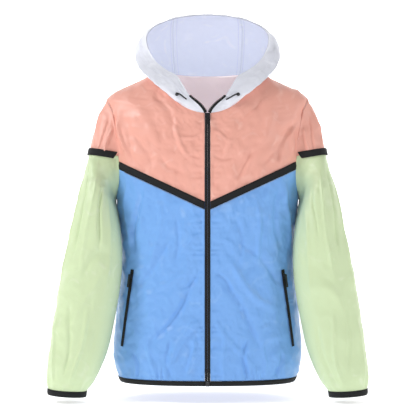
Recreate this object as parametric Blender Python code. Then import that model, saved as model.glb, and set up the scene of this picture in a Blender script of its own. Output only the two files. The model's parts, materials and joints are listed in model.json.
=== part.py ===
"""Hooded windbreaker jacket, worn shape with no wearer, built as thin cloth walls.

Frame: metres, +Z up, +Y to the wearer's back, origin at the base of the neck where the
wearer's shoulders carry it.  Every cloth piece is a grid of points on a smooth form with a
unit normal at each point, given a thickness along those normals.  Neighbouring pieces share
the points of their seam and stand SEAM apart there.
"""
import math

import bmesh
import bpy
import numpy as np
from mathutils import Matrix, Vector

# ---------------------------------------------------------------- driving dimensions
WALL = 0.0012            # cloth panel thickness
SEAM = 0.00032           # gap between neighbouring pieces
TAPE_WALL = 0.0010       # webbing tape thickness
TAPE_LIFT = 0.0013       # mid-surface of the cloth to the underside of a tape on it
TAPE_HALF = 0.0076       # half width of the black tapes, measured up and down
BINDING_WALL = 0.0022    # hem and cuff bindings

HEM_Z = -0.675           # lower edge of the hem binding
HEM_BAND = 0.0105        # height of the hem binding
CUFF_BAND = 0.0125       # height of a cuff binding
ZIP_HALF = 0.0060        # half width of the closed front zip
ZIP_WALL = 0.0018
NECK_HALF = 0.100        # half width of the neck opening at the shoulder seam
NECK_FRONT_Z = -0.088    # bottom of the neck opening at the front zip
NECK_SIDE_Z = 0.0135
NECK_BACK_Z = 0.004
RING_POWER = 2.4         # roundness of the body's rings, 2 is an ellipse
ARM_TOP_Z = -0.050
ARM_BOTTOM_Z = -0.262
ARM_POWER = 2.6
ARM_FRONT_TURN = 28.0    # degrees that the front armhole cuts in from the side
ARM_BACK_TURN = 23.0
CHEVRON_Z = -0.291       # centre line of the chevron tape at the zip
CHEVRON_RISE = 0.468     # rise of the chevron for each metre across
BACK_LINE_Z = -0.200     # the tape across the back
BAND_Z = -0.1702         # sleeve band at the outer side
BAND_TILT = 0.15         # drop of the band towards the body
BAND_X = 0.258
CHANNEL = 0.021          # width of the hood's drawcord channel
CORD_DIAMETER = 0.003
NECK_TAPE = 0.0085       # height of the binding inside the back neck seam
NECK_TAPE_FOOT = 0.0012
NECK_TAPE_W = 0.35       # how far round the hood it runs
ZIP_TOP_WIDTH = (0.0052, 0.0030)   # open zip tape at the neck seam and at its upper end
ZIP_GAP = 0.0008         # from the middle to the open tape where it leaves the slider
ZIP_BOX = 0.0110
ZIP_BOX_WIDTH = 0.0080
ZIP_BOX_WALL = 0.0026
SLIDER_Z = -0.0960

# Sliders: plate width, length and thickness, pull tab width and length.
ZIP_SLIDER = (0.0090, 0.0140, 0.0024, 0.0050, 0.0225)
POCKET_SLIDER_SIZE = (0.0076, 0.0105, 0.0020, 0.0046, 0.0260)
SLIDER_GAP = 0.00035
SLIDER_CORNER = 0.0024
EAR_WALL = 0.0010
EAR_HALF = 0.0015
EAR_TOP = 0.0012
EYE_RADIUS = 0.0022
PIN_RADIUS = 0.0008
PIN_Z = 0.0016
TAB_WALL = 0.0010

POCKET_TOP = (53.2, -0.4270)       # angle and height of a pocket zip's upper end
POCKET_FOOT = (60.0, -0.5940)
POCKET_BOW = 0.5
POCKET_WIDTH = (0.0085, 0.0070)
POCKET_SLIDER = 1 / 12   # place of the slider along the zip

EYELET_W = 0.828         # place of the eyelets on the hood
EYELET_V = 0.523
EYELET_OUT = 0.0040
EYELET_IN = 0.0020
EYELET_WALL = 0.0010

COLOURS = {              # linear colour, roughness, metallic
    "coral": ((0.93, 0.42, 0.30), 0.55, 0.0),
    "blue": ((0.14, 0.38, 0.90), 0.50, 0.0),
    "lime": ((0.66, 0.82, 0.38), 0.55, 0.0),
    "white": ((0.86, 0.88, 0.92), 0.55, 0.0),
    "black": ((0.012, 0.012, 0.014), 0.70, 0.0),
    "black_metal": ((0.03, 0.03, 0.035), 0.35, 0.9),
}

# Rings of the body by height: half width, depth to the front, depth to the back.
BODY_COLUMNS = ("z", "half_width", "front", "back")
BODY_ROWS = (
    (-0.680, 0.190, 0.1135, 0.1120),
    (-0.650, 0.203, 0.1180, 0.1155),
    (-0.610, 0.2085, 0.1210, 0.1165),
    (-0.550, 0.2045, 0.1230, 0.1145),
    (-0.450, 0.1960, 0.1250, 0.1100),
    (-0.350, 0.1930, 0.1260, 0.1120),
    (-0.262, 0.2015, 0.1230, 0.1200),
    (-0.200, 0.2120, 0.1170, 0.1220),
    (-0.160, 0.2180, 0.1100, 0.1200),
    (-0.125, 0.2220, 0.1010, 0.1150),
    (-0.080, 0.2240, 0.0860, 0.1040),
    (-0.050, 0.2220, 0.0690, 0.0920),
    (-0.0395, 0.2100, 0.0640, 0.0860),
    (-0.0128, 0.1546, 0.0500, 0.0680),
    (0.0135, 0.1000, 0.0340, 0.0500),
    (0.0300, 0.0660, 0.0240, 0.0380),
)

# Rings of a sleeve from the armhole to the cuff: the outer and the inner point of each ring in
# the front view, how far forward its middle lies, and half its depth.
SLEEVE_COLUMNS = ("out_x", "out_z", "in_x", "in_z", "mid_y", "half_depth")
SLEEVE_ROWS = (
    (0.2220, -0.050, 0.2020, -0.262, 0.004, 0.078),
    (0.2440, -0.093, 0.2020, -0.268, 0.001, 0.077),
    (0.2570, -0.146, 0.2030, -0.280, -0.008, 0.074),
    (0.2670, -0.203, 0.1970, -0.302, -0.038, 0.069),
    (0.2850, -0.277, 0.1890, -0.347, -0.062, 0.063),
    (0.3020, -0.358, 0.1850, -0.402, -0.074, 0.059),
    (0.3180, -0.437, 0.1890, -0.462, -0.079, 0.057),
    (0.3320, -0.525, 0.2015, -0.536, -0.081, 0.056),
    (0.3430, -0.600, 0.2170, -0.604, -0.081, 0.053),
    (0.3485, -0.656, 0.2420, -0.662, -0.080, 0.046),
    (0.3455, -0.684, 0.2620, -0.690, -0.080, 0.036),
    (0.3450, -0.700, 0.2640, -0.706, -0.080, 0.034),
)
CUFF_RING = 9.97         # ring number where the cuff binding starts

# The hood, from the top of the face opening (w = 0) round to the front corner (w = 1):
# the opening's edge, the matching place on the neck seam in degrees from the front, and how
# the cloth leaves the edge (a) and the seam (b) before it meets half way.
HOOD_COLUMNS = ("w", "x", "y", "z", "tau", "ax", "ay", "az", "bx", "by", "bz")
HOOD_ROWS = (
    (0.00, 0.0000, 0.030, 0.1405, 180.0, 0.000, 0.200, 0.060, 0.000, 0.185, -0.130),
    (0.12, 0.0700, 0.027, 0.1330, 147.0, 0.020, 0.185, 0.050, 0.022, 0.170, -0.105),
    (0.24, 0.1200, 0.018, 0.1120, 126.0, 0.042, 0.130, 0.022, 0.050, 0.115, -0.045),
    (0.34, 0.1360, 0.008, 0.0900, 108.0, 0.046, 0.080, 0.008, 0.066, 0.050, 0.004),
    (0.42, 0.1343, -0.002, 0.0689, 90.0, 0.048, 0.040, -0.004, 0.072, 0.012, 0.002),
    (0.54, 0.1158, -0.020, 0.0335, 73.0, 0.044, 0.004, -0.014, 0.056, -0.012, 0.006),
    (0.66, 0.0889, -0.040, 0.0099, 56.0, 0.032, -0.016, -0.016, 0.036, -0.020, 0.010),
    (0.78, 0.0665, -0.058, -0.0046, 38.0, 0.018, -0.018, -0.020, 0.022, -0.016, 0.012),
    (0.90, 0.0500, -0.075, -0.0310, 20.0, 0.006, -0.010, -0.015, 0.010, -0.006, 0.014),
    (1.00, 0.0390, -0.086, -0.0505, 3.4, -0.010, -0.003, -0.012, 0.006, -0.002, 0.016),
)


# ---------------------------------------------------------------- curves through tables
def smooth(knots, values, at):
    """Cubic through the knots, its slope at each one the mean of its two neighbours' slopes."""
    knots = np.asarray(knots, float)
    values = np.asarray(values, float)
    slopes = np.gradient(values, knots)
    at = np.clip(np.asarray(at, float), knots[0], knots[-1])
    cell = np.clip(np.searchsorted(knots, at, side="right") - 1, 0, len(knots) - 2)
    step = knots[cell + 1] - knots[cell]
    t = (at - knots[cell]) / step
    start = (2 * t**3 - 3 * t**2 + 1) * values[cell] + (t**3 - 2 * t**2 + t) * step * slopes[cell]
    end = (3 * t**2 - 2 * t**3) * values[cell + 1] + (t**3 - t**2) * step * slopes[cell + 1]
    return start + end


def column(rows, names, name):
    return np.array([row[names.index(name)] for row in rows])


def body_ring(z):
    """Half width, front depth and back depth of the body at height z."""
    heights = column(BODY_ROWS, BODY_COLUMNS, "z")
    return [smooth(heights, column(BODY_ROWS, BODY_COLUMNS, name), z)
            for name in ("half_width", "front", "back")]


def unit(vectors):
    return vectors / np.maximum(np.linalg.norm(vectors, axis=-1, keepdims=True), 1e-12)


# ---------------------------------------------------------------- the body's form
def body_point(theta, z):
    """Point at theta degrees round from the front (90 is the wearer's side at +X), height z.

    Each ring is a superellipse: |x / width| ** n + |y / depth| ** n = 1.
    """
    width, front, back = body_ring(z)
    sine = np.sin(np.radians(theta))
    cosine = np.cos(np.radians(theta))
    depth = np.where(cosine > 0, front, back)
    power = 2 / RING_POWER
    x = width * np.sign(sine) * np.abs(sine) ** power
    y = -depth * np.sign(cosine) * np.abs(cosine) ** power
    return np.stack([x, y, np.broadcast_to(z, x.shape)], axis=-1)


def body_normal(theta, z):
    """Gradient of the ring equation, which points out of the body."""
    point = body_point(theta, z)
    width, front, back = body_ring(z)
    step = 0.0005
    above = body_ring(np.asarray(z) + step)
    below = body_ring(np.asarray(z) - step)
    is_front = point[..., 1] < 0
    depth = np.where(is_front, front, back)
    depth_slope = np.where(is_front, above[1] - below[1], above[2] - below[2]) / (2 * step)
    width_slope = (above[0] - below[0]) / (2 * step)
    across = np.abs(point[..., 0]) / width
    through = np.abs(point[..., 1]) / depth
    grad_x = np.sign(point[..., 0]) * across ** (RING_POWER - 1) / width
    grad_y = np.sign(point[..., 1]) * through ** (RING_POWER - 1) / depth
    grad_z = -across**RING_POWER * width_slope / width - through**RING_POWER * depth_slope / depth
    return unit(np.stack([grad_x, grad_y, grad_z], axis=-1))


def theta_at(x, z):
    """Angle from the front of the point x metres across, on the front half."""
    across = np.clip(np.abs(x) / body_ring(z)[0], 0, 1)
    return np.degrees(np.arcsin(across ** (RING_POWER / 2)))


def neck(tau):
    """Angle and height on the body's form of the neck seam, tau degrees round from the front."""
    cosine = np.cos(np.radians(tau))
    front = NECK_FRONT_Z + (NECK_SIDE_Z - NECK_FRONT_Z) * (1 - cosine)
    back = NECK_BACK_Z + (NECK_SIDE_Z - NECK_BACK_Z) * (1 + cosine)
    z = np.where(cosine > 0, front, back)
    angle = theta_at(NECK_HALF * np.sin(np.radians(tau)), z)
    return np.where(cosine > 0, angle, 180 - angle), z


def armhole(t):
    """Angle and height on the body's form of the armhole; t = 0 top, 180 underarm, > 180 back."""
    sine = np.sin(np.radians(t))
    cosine = np.cos(np.radians(t))
    power = 2 / ARM_POWER
    middle = (ARM_TOP_Z + ARM_BOTTOM_Z) / 2
    half = (ARM_TOP_Z - ARM_BOTTOM_Z) / 2
    z = middle + half * np.sign(cosine) * np.abs(cosine) ** power
    turn = np.where(sine > 0, -ARM_FRONT_TURN, ARM_BACK_TURN) * np.abs(sine) ** power
    return 90 + turn, z


def crossing(gap, low, high):
    """The place between low and high where gap() passes through zero, by halving."""
    low = np.asarray(low, float).copy()
    high = np.asarray(high, float).copy()
    for _ in range(40):
        middle = (low + high) / 2
        over = gap(middle) > 0
        low = np.where(over, middle, low)
        high = np.where(over, high, middle)
    return (low + high) / 2


def chevron_gap(t):
    point = body_point(*armhole(t))
    return point[..., 2] - (CHEVRON_Z + CHEVRON_RISE * point[..., 0])


def band_gap(point):
    """Height of a point above the sleeve band's tilted plane."""
    return point[..., 2] - (BAND_Z - BAND_TILT * (BAND_X - point[..., 0]))


# ---------------------------------------------------------------- the sleeve's form
def sleeve_ring(t, ring):
    """An ellipse from the outer point to the inner one, with its own depth front to back."""
    numbers = np.arange(len(SLEEVE_ROWS))
    get = {name: smooth(numbers, column(SLEEVE_ROWS, SLEEVE_COLUMNS, name), ring)
           for name in SLEEVE_COLUMNS}
    cosine = np.cos(np.radians(t))
    sine = np.sin(np.radians(t))
    x = (get["out_x"] + get["in_x"]) / 2 + cosine * (get["out_x"] - get["in_x"]) / 2
    z = (get["out_z"] + get["in_z"]) / 2 + cosine * (get["out_z"] - get["in_z"]) / 2
    y = get["mid_y"] - sine * get["half_depth"]
    return np.stack(np.broadcast_arrays(x, y, z), axis=-1)


def sleeve_point(t, ring):
    """The rings, pulled onto the armhole's curve where the sleeve starts."""
    t, ring = np.broadcast_arrays(np.asarray(t, float), np.asarray(ring, float))
    start = body_point(*armhole(t % 360)) - sleeve_ring(t, np.zeros_like(ring))
    fade = np.clip(1 - ring / 3.0, 0, 1)
    fade = fade * fade * (3 - 2 * fade)
    return sleeve_ring(t, ring) + start * fade[..., None]


def sleeve_normal(t, ring):
    """Across both directions of the sleeve's form, pointing out of the tube."""
    t, ring = np.broadcast_arrays(np.asarray(t, float), np.asarray(ring, float))
    ring = np.maximum(ring, 0.02)
    along = sleeve_point(t, ring + 0.02) - sleeve_point(t, ring - 0.02)
    around = sleeve_point(t + 0.5, ring) - sleeve_point(t - 0.5, ring)
    return unit(np.cross(around, along))


def armhole_normal(t):
    """Half way between the body's and the sleeve's normals, so the two walls meet as a mitre."""
    return unit(body_normal(*armhole(t)) + sleeve_normal(t, 0 * np.asarray(t, float)))


# ---------------------------------------------------------------- the hood's form
def hood_table(name, w):
    """A column of the hood's table carried across the middle, mirrored for sideways values."""
    knots = column(HOOD_ROWS, HOOD_COLUMNS, "w")
    values = column(HOOD_ROWS, HOOD_COLUMNS, name)
    flip = -1 if name in ("x", "ax", "bx") else 1
    return smooth(np.concatenate([-knots[:0:-1], knots]),
                  np.concatenate([flip * values[:0:-1], values]), w)


def hood_tau(w):
    """Where column w of the hood meets the neck seam: straight between the table's rows."""
    knots = column(HOOD_ROWS, HOOD_COLUMNS, "w")
    side = np.interp(np.abs(w), knots, column(HOOD_ROWS, HOOD_COLUMNS, "tau"))
    return np.where(np.asarray(w) < 0, 360 - side, side)


def neck_point(tau):
    """The neck seam all the way round, tau over 180 on the wearer's other side."""
    other = np.asarray(tau) > 180
    point = body_point(*neck(np.where(other, 360 - tau, tau)))
    point[..., 0] = np.where(other, -point[..., 0], point[..., 0])
    return point


def hood_point(w, v):
    """A cubic from the face opening (v = 0) to the neck seam (v = 1) by way of a and b."""
    w, v = np.broadcast_arrays(np.asarray(w, float), np.asarray(v, float))
    edge = np.stack([hood_table(name, w) for name in ("x", "y", "z")], axis=-1)
    leave = edge + np.stack([hood_table(name, w) for name in ("ax", "ay", "az")], axis=-1)
    seam = neck_point(hood_tau(w))
    reach = seam + np.stack([hood_table(name, w) for name in ("bx", "by", "bz")], axis=-1)
    s = v[..., None]
    return (1 - s)**3 * edge + 3 * s * (1 - s)**2 * leave + 3 * s**2 * (1 - s) * reach + s**3 * seam


def hood_normal(w, v):
    """Across both directions of the hood's form, pointing away from the wearer's head."""
    w, v = np.broadcast_arrays(np.asarray(w, float), np.asarray(v, float))
    w = np.clip(w, -0.985, 0.985)
    v = np.clip(v, 0.01, 0.99)
    along = hood_point(w, v + 0.01) - hood_point(w, v - 0.01)
    around = hood_point(w + 0.012, v) - hood_point(w - 0.012, v)
    return unit(np.cross(around, along))


def neck_normal(w):
    """Half way between the body's and the hood's normals at the neck seam."""
    tau = hood_tau(w)
    other = tau > 180
    body = body_normal(*neck(np.where(other, 360 - tau, tau)))
    body[..., 0] = np.where(other, -body[..., 0], body[..., 0])
    return unit(body + hood_normal(w, np.ones_like(np.asarray(w, float))))


# ---------------------------------------------------------------- making solids
def material(name):
    colour, roughness, metallic = COLOURS[name]
    if name in bpy.data.materials:
        return bpy.data.materials[name]
    made = bpy.data.materials.new(name)
    made.use_nodes = True
    shader = made.node_tree.nodes["Principled BSDF"]
    shader.inputs["Base Color"].default_value = (*colour, 1.0)
    shader.inputs["Roughness"].default_value = roughness
    shader.inputs["Metallic"].default_value = metallic
    return made


def add_object(name, mesh, finish):
    mesh.materials.append(material(finish))
    made = bpy.data.objects.new(name, mesh)
    bpy.context.collection.objects.link(made)
    return made


def inset(points, sides):
    """Move the named outer rows and columns of a grid inwards by half a seam."""
    points = points.copy()
    moved = points.copy()
    half = SEAM / 2
    if "first_row" in sides:
        moved[0] += half * unit(points[1] - points[0])
    if "last_row" in sides:
        moved[-1] += half * unit(points[-2] - points[-1])
    if "first_column" in sides:
        moved[:, 0] += half * unit(points[:, 1] - points[:, 0])
    if "last_column" in sides:
        moved[:, -1] += half * unit(points[:, -2] - points[:, -1])
    return moved


ALL_SIDES = ("first_row", "last_row", "first_column", "last_column")


def wall(name, points, normals, finish, low=-WALL / 2, high=WALL / 2, closed=False,
         sides=ALL_SIDES, mirror=False):
    """A closed solid: the grid moved out by high, the grid moved in by low, and its rim."""
    points = inset(points, [side for side in sides if not (closed and "column" in side)])
    if mirror:
        points = points * (-1, 1, 1)
        normals = normals * (-1, 1, 1)
    rows, columns = points.shape[:2]
    vertices = np.concatenate([(points + normals * high).reshape(-1, 3),
                               (points + normals * low).reshape(-1, 3)])
    under = rows * columns

    def at(row, col):
        return row * columns + col % columns

    faces = []
    for row in range(rows - 1):
        for col in range(columns if closed else columns - 1):
            quad = (at(row, col), at(row, col + 1), at(row + 1, col + 1), at(row + 1, col))
            faces.append(quad)
            faces.append(tuple(under + corner for corner in reversed(quad)))
    for col in range(columns if closed else columns - 1):
        for row, order in ((0, 1), (rows - 1, -1)):
            a, b = (at(row, col), at(row, col + 1))[::order]
            faces.append((b, a, under + a, under + b))
    if not closed:
        for row in range(rows - 1):
            for col, order in ((0, 1), (columns - 1, -1)):
                a, b = (at(row + 1, col), at(row, col))[::order]
                faces.append((b, a, under + a, under + b))
    mesh = bpy.data.meshes.new(name)
    mesh.from_pydata(vertices.tolist(), [], faces)
    work = bmesh.new()
    work.from_mesh(mesh)
    bmesh.ops.triangulate(work, faces=work.faces)
    if work.calc_volume(signed=True) < 0:
        bmesh.ops.reverse_faces(work, faces=work.faces)
    work.to_mesh(mesh)
    work.free()
    mesh.shade_smooth()
    mesh.set_sharp_from_angle(angle=math.radians(50))
    return add_object(name, mesh, finish)


# ---------------------------------------------------------------- shared seam samples
NECK_FRONT_TAU = np.array([3.4, 20.0, 38.0, 56.0, 73.0, 90.0])
NECK_BACK_TAU = np.array([180.0, 163.5, 147.0, 126.0, 108.0, 90.0])
SHOULDER_STEPS = 4
CHEVRON_T = float(crossing(chevron_gap, 60.0, 160.0))
BACK_T = float(crossing(lambda t: armhole(360 - t)[1] - BACK_LINE_Z, 60.0, 160.0))
BAND_FRONT_T = float(crossing(lambda t: band_gap(body_point(*armhole(t))), 60.0, 160.0))
BAND_BACK_T = float(crossing(lambda t: band_gap(body_point(*armhole(360 - t))), 60.0, 160.0))


def armhole_samples(band_t, line_t):
    """Angles down one half of the armhole: eight to the band, the tape's end, three to the underarm."""
    upper = np.append(np.linspace(0, band_t, 9), line_t)
    lower = np.linspace(line_t, 180, 4)
    return upper, lower


FRONT_UPPER, FRONT_LOWER = armhole_samples(BAND_FRONT_T, CHEVRON_T)
BACK_UPPER, BACK_LOWER = armhole_samples(BAND_BACK_T, BACK_T)


def yoke_top(neck_tau):
    """Angle and height along the neck and then down the shoulder seam."""
    angle, z = neck(neck_tau)
    shoulder = np.linspace(NECK_SIDE_Z, ARM_TOP_Z, SHOULDER_STEPS + 1)[1:]
    return np.append(angle, np.full(SHOULDER_STEPS, 90.0)), np.append(z, shoulder)


def rule_between(low, high, fractions):
    """Rows of (angle, height) between a lower and an upper edge, each a pair of arrays."""
    share = np.asarray(fractions)[:, None]
    return tuple(low[k][None, :] * (1 - share) + high[k][None, :] * share for k in (0, 1))


def yoke_grid(is_front):
    """Front or back yoke: rows from the tape line up to the neck and the shoulder."""
    neck_tau = NECK_FRONT_TAU if is_front else NECK_BACK_TAU
    upper = FRONT_UPPER if is_front else BACK_UPPER
    top = yoke_top(neck_tau)
    count = len(top[0])
    end_angle, end_z = armhole(upper[-1] if is_front else 360 - upper[-1])
    end = body_point(end_angle, end_z)
    if is_front:
        x = np.linspace(ZIP_HALF, end[0], count)
        z = CHEVRON_Z + CHEVRON_RISE * x
        z = z + np.linspace(0, 1, count)**2 * (end_z - z[-1])
        base = (theta_at(x, z), z)
    else:
        x = np.linspace(0, end[0], count)
        z = np.full(count, BACK_LINE_Z)
        base = (180 - theta_at(x, z), z)
    side = armhole(upper[::-1] if is_front else 360 - upper[::-1])
    steps = (side[1] - side[1][0]) / (side[1][-1] - side[1][0])
    angle, z = rule_between(base, top, steps)
    weight = (np.arange(count) / (count - 1))**3
    angle += weight * (side[0] - angle[:, -1])[:, None]
    z += weight * (side[1] - z[:, -1])[:, None]
    return angle, z, upper[::-1]


def lower_grid(is_front, rows=12):
    """Front or back below the tape line: rows from the line down to the hem binding."""
    top_angle, top_z, _ = yoke_grid(is_front)
    lower = FRONT_LOWER if is_front else BACK_LOWER
    arm = armhole(lower[1:] if is_front else 360 - lower[1:])
    top = (np.append(top_angle[0], arm[0]), np.append(top_z[0], arm[1]))
    floor = np.full(len(top[0]), HEM_Z + HEM_BAND)
    count = len(top_angle[0])
    top_x = body_point(top_angle[0], top_z[0])[..., 0] * (0.90, 0.93)[not is_front]
    near = theta_at(top_x, floor[:count])
    side = np.linspace(near[-1], 90, len(lower))[1:]
    bottom_angle = np.append(near, side)
    if not is_front:
        bottom_angle = 180 - bottom_angle
    share = np.linspace(0, 1, rows + 1)**0.95
    return rule_between(top, (bottom_angle, floor), share)


def hold_zip_edge(angle, z):
    """Keep the first column the same distance from the middle all the way down."""
    angle = angle.copy()
    angle[:, 0] = theta_at(ZIP_HALF, z[:, 0])
    return angle


def both_halves(points, normals):
    """Join a half grid, from the middle outwards, to its mirror image."""
    flip = np.array((-1, 1, 1))
    return (np.concatenate([(points * flip)[:, :0:-1], points], axis=1),
            np.concatenate([(normals * flip)[:, :0:-1], normals], axis=1))


# ---------------------------------------------------------------- body panels
def yoke_surface(is_front):
    angle, z, arm_t = yoke_grid(is_front)
    if is_front:
        angle = hold_zip_edge(angle, z)
    points = body_point(angle, z)
    normals = body_normal(angle, z)
    normals[:, -1] = armhole_normal(arm_t if is_front else 360 - arm_t)
    necks = NECK_FRONT_TAU if is_front else NECK_BACK_TAU
    knots = column(HOOD_ROWS, HOOD_COLUMNS, "w")
    taus = column(HOOD_ROWS, HOOD_COLUMNS, "tau")
    normals[-1, :len(necks)] = neck_normal(np.interp(-necks, -taus, knots))
    return points, normals


def lower_surface(is_front):
    angle, z = lower_grid(is_front)
    if is_front:
        angle = hold_zip_edge(angle, z)
    points = body_point(angle, z)
    normals = body_normal(angle, z)
    arm_t = (FRONT_LOWER if is_front else BACK_LOWER)
    normals[0, -len(arm_t):] = armhole_normal(arm_t if is_front else 360 - arm_t)
    return points, normals


def tape_surface(is_front):
    """Three rows of points, over, on and under the tape line."""
    angle, z, _ = yoke_grid(is_front)
    slope = math.hypot(1, CHEVRON_RISE) if is_front else 1.0
    half = TAPE_HALF * slope
    line = z[0]
    lift = np.array([half, 0, -half])[:, None]
    x = body_point(angle[0], line)[..., 0]
    shift = np.array([0.0016, 0, 0.0010])[:, None] * (np.arange(len(x)) == len(x) - 1)
    heights = line + lift
    angles = theta_at(x - shift, heights)
    angles = angles if is_front else 180 - angles
    return body_point(angles, heights), body_normal(angles, heights)


def make_body_panels():
    for side, mirror in (("right", False), ("left", True)):
        points, normals = yoke_surface(True)
        wall(f"front_yoke_{side}", points, normals, "coral", mirror=mirror)
        points, normals = lower_surface(True)
        wall(f"front_{side}", points, normals, "blue", mirror=mirror)
        points, normals = tape_surface(True)
        wall(f"chevron_tape_{side}", points, normals, "black",
             low=TAPE_LIFT, high=TAPE_LIFT + TAPE_WALL, mirror=mirror)
        angle = np.tile(lower_grid(True)[0][-1], (2, 1))
        z = np.array([HEM_Z + HEM_BAND, HEM_Z])[:, None] + 0 * angle
        angle = hold_zip_edge(angle, z)
        wall(f"hem_binding_{side}", body_point(angle, z), body_normal(angle, z), "black",
             low=-BINDING_WALL / 2, high=BINDING_WALL / 2, mirror=mirror)
    points, normals = both_halves(*yoke_surface(False))
    wall("back_yoke", points, normals, "coral")
    points, normals = both_halves(*lower_surface(False))
    wall("back", points, normals, "blue")
    points, normals = both_halves(*tape_surface(False))
    wall("back_tape", points, normals, "black", low=TAPE_LIFT, high=TAPE_LIFT + TAPE_WALL)
    angle = np.tile(lower_grid(False)[0][-1], (2, 1))
    z = np.array([HEM_Z + HEM_BAND, HEM_Z])[:, None] + 0 * angle
    points, normals = both_halves(body_point(angle, z), body_normal(angle, z))
    wall("hem_binding_back", points, normals, "black",
         low=-BINDING_WALL / 2, high=BINDING_WALL / 2)


# ---------------------------------------------------------------- sleeves
def band_ring(t, offset=0.0):
    """Ring number where column t crosses the band's plane moved up by offset."""
    return crossing(lambda ring: band_gap(sleeve_point(t, ring)) - offset,
                    np.zeros_like(t), np.full_like(t, 6.0))


SEAM_RING = 0.022        # ring number where the sleeve starts, clear of the armhole's edge
TIP_RING = 0.045         # where the cap's pointed ends stop


def make_sleeve(side, mirror):
    cap_t = np.concatenate([-BACK_UPPER[-2:0:-1], FRONT_UPPER[:-1]])
    line = np.maximum(band_ring(cap_t), TIP_RING)
    ring = SEAM_RING + np.linspace(0, 1, 6)[:, None] * (line - SEAM_RING)
    columns = np.tile(cap_t, (6, 1))
    points = sleeve_point(columns, ring)
    normals = sleeve_normal(columns, ring)
    normals[0] = armhole_normal(cap_t % 360)
    wall(f"sleeve_cap_{side}", points, normals, "coral", mirror=mirror)

    around = np.concatenate([cap_t, FRONT_UPPER[-1:], FRONT_LOWER[1:],
                             360 - BACK_LOWER[-2::-1]])
    start = np.full(len(around), SEAM_RING)
    start[:len(cap_t)] = line
    share = np.linspace(0, 1, 13)[:, None]**0.9
    ring = start + share * (CUFF_RING - start)
    columns = np.tile(around, (len(share), 1))
    points = sleeve_point(columns, ring)
    normals = sleeve_normal(columns, ring)
    open_seam = slice(len(cap_t), None)
    normals[0, open_seam] = armhole_normal(around[open_seam] % 360)
    wall(f"sleeve_{side}", points, normals, "lime", closed=True, mirror=mirror)

    over = band_ring(cap_t, TAPE_HALF)
    under = band_ring(cap_t, -TAPE_HALF)
    keep = over > TIP_RING
    ring = np.stack([over, band_ring(cap_t), under])[:, keep]
    columns = np.tile(cap_t[keep], (3, 1))
    wall(f"sleeve_tape_{side}", sleeve_point(columns, ring), sleeve_normal(columns, ring),
         "black", low=2 * TAPE_LIFT, high=2 * TAPE_LIFT + TAPE_WALL, mirror=mirror)

    ring = np.array([CUFF_RING, CUFF_RING + CUFF_BAND / 0.0160])[:, None] + 0 * around
    columns = np.tile(around, (2, 1))
    wall(f"cuff_binding_{side}", sleeve_point(columns, ring), sleeve_normal(columns, ring),
         "black", low=-BINDING_WALL / 2, high=BINDING_WALL / 2, closed=True, mirror=mirror)


# ---------------------------------------------------------------- hood
def hood_columns():
    knots = column(HOOD_ROWS, HOOD_COLUMNS, "w")
    return np.insert(knots, 1, knots[1] / 2)


def hood_surface(columns, rows=9):
    """Rows at the opening's edge, the channel's stitching, down the hood and at the neck seam."""
    channel = np.array([share_at(w, CHANNEL)[0] for w in columns])
    foot = np.array([share_at(w, share_at(w, 0)[1] - NECK_TAPE)[0] for w in columns])
    steps = np.linspace(0, 1, rows)[:, None]
    v = np.concatenate([0 * channel[None], channel + steps * (foot - channel), 1 + 0 * foot[None]])
    w = np.tile(columns, (len(v), 1))
    normals = hood_normal(w, v)
    normals[-1] = neck_normal(columns)
    return hood_point(w, v), normals


def make_hood():
    columns = hood_columns()
    middle = columns[:3]
    middle = np.concatenate([-middle[:0:-1], middle])
    wall("hood_centre", *hood_surface(middle), "white")
    for side, mirror in (("right", False), ("left", True)):
        wall(f"hood_{side}", *hood_surface(columns[2:]), "white", mirror=mirror)


def share_at(w, length):
    """How far down column w of the hood (0 to 1) lies length metres from the face opening."""
    steps = np.linspace(0, 1, 101)
    path = hood_point(np.full_like(steps, w), steps)
    run = np.concatenate([[0], np.cumsum(np.linalg.norm(np.diff(path, axis=0), axis=1))])
    return float(np.interp(length, run, steps)), float(run[-1])


def make_hood_trim():
    """The drawcord channel inside the face opening and the binding on the back neck seam."""
    half = hood_columns()[:-1]
    columns = np.concatenate([-half[:0:-1], half])
    first = 0.5 * TAPE_WALL
    shares = np.array([[share_at(w, length)[0] for w in columns] for length in (first, CHANNEL)])
    w = np.tile(columns, (2, 1))
    wall("hood_channel", hood_point(w, shares), hood_normal(w, shares), "white",
         low=-TAPE_LIFT - TAPE_WALL, high=-TAPE_LIFT)
    columns = columns[np.abs(columns) <= NECK_TAPE_W]
    ends = [[share_at(w, share_at(w, 0)[1] - up)[0] for w in columns]
            for up in (NECK_TAPE, NECK_TAPE_FOOT)]
    w = np.tile(columns, (2, 1))
    wall("neck_tape", hood_point(w, np.array(ends)), hood_normal(w, np.array(ends)), "white",
         low=-TAPE_LIFT - TAPE_WALL, high=-TAPE_LIFT)


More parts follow.
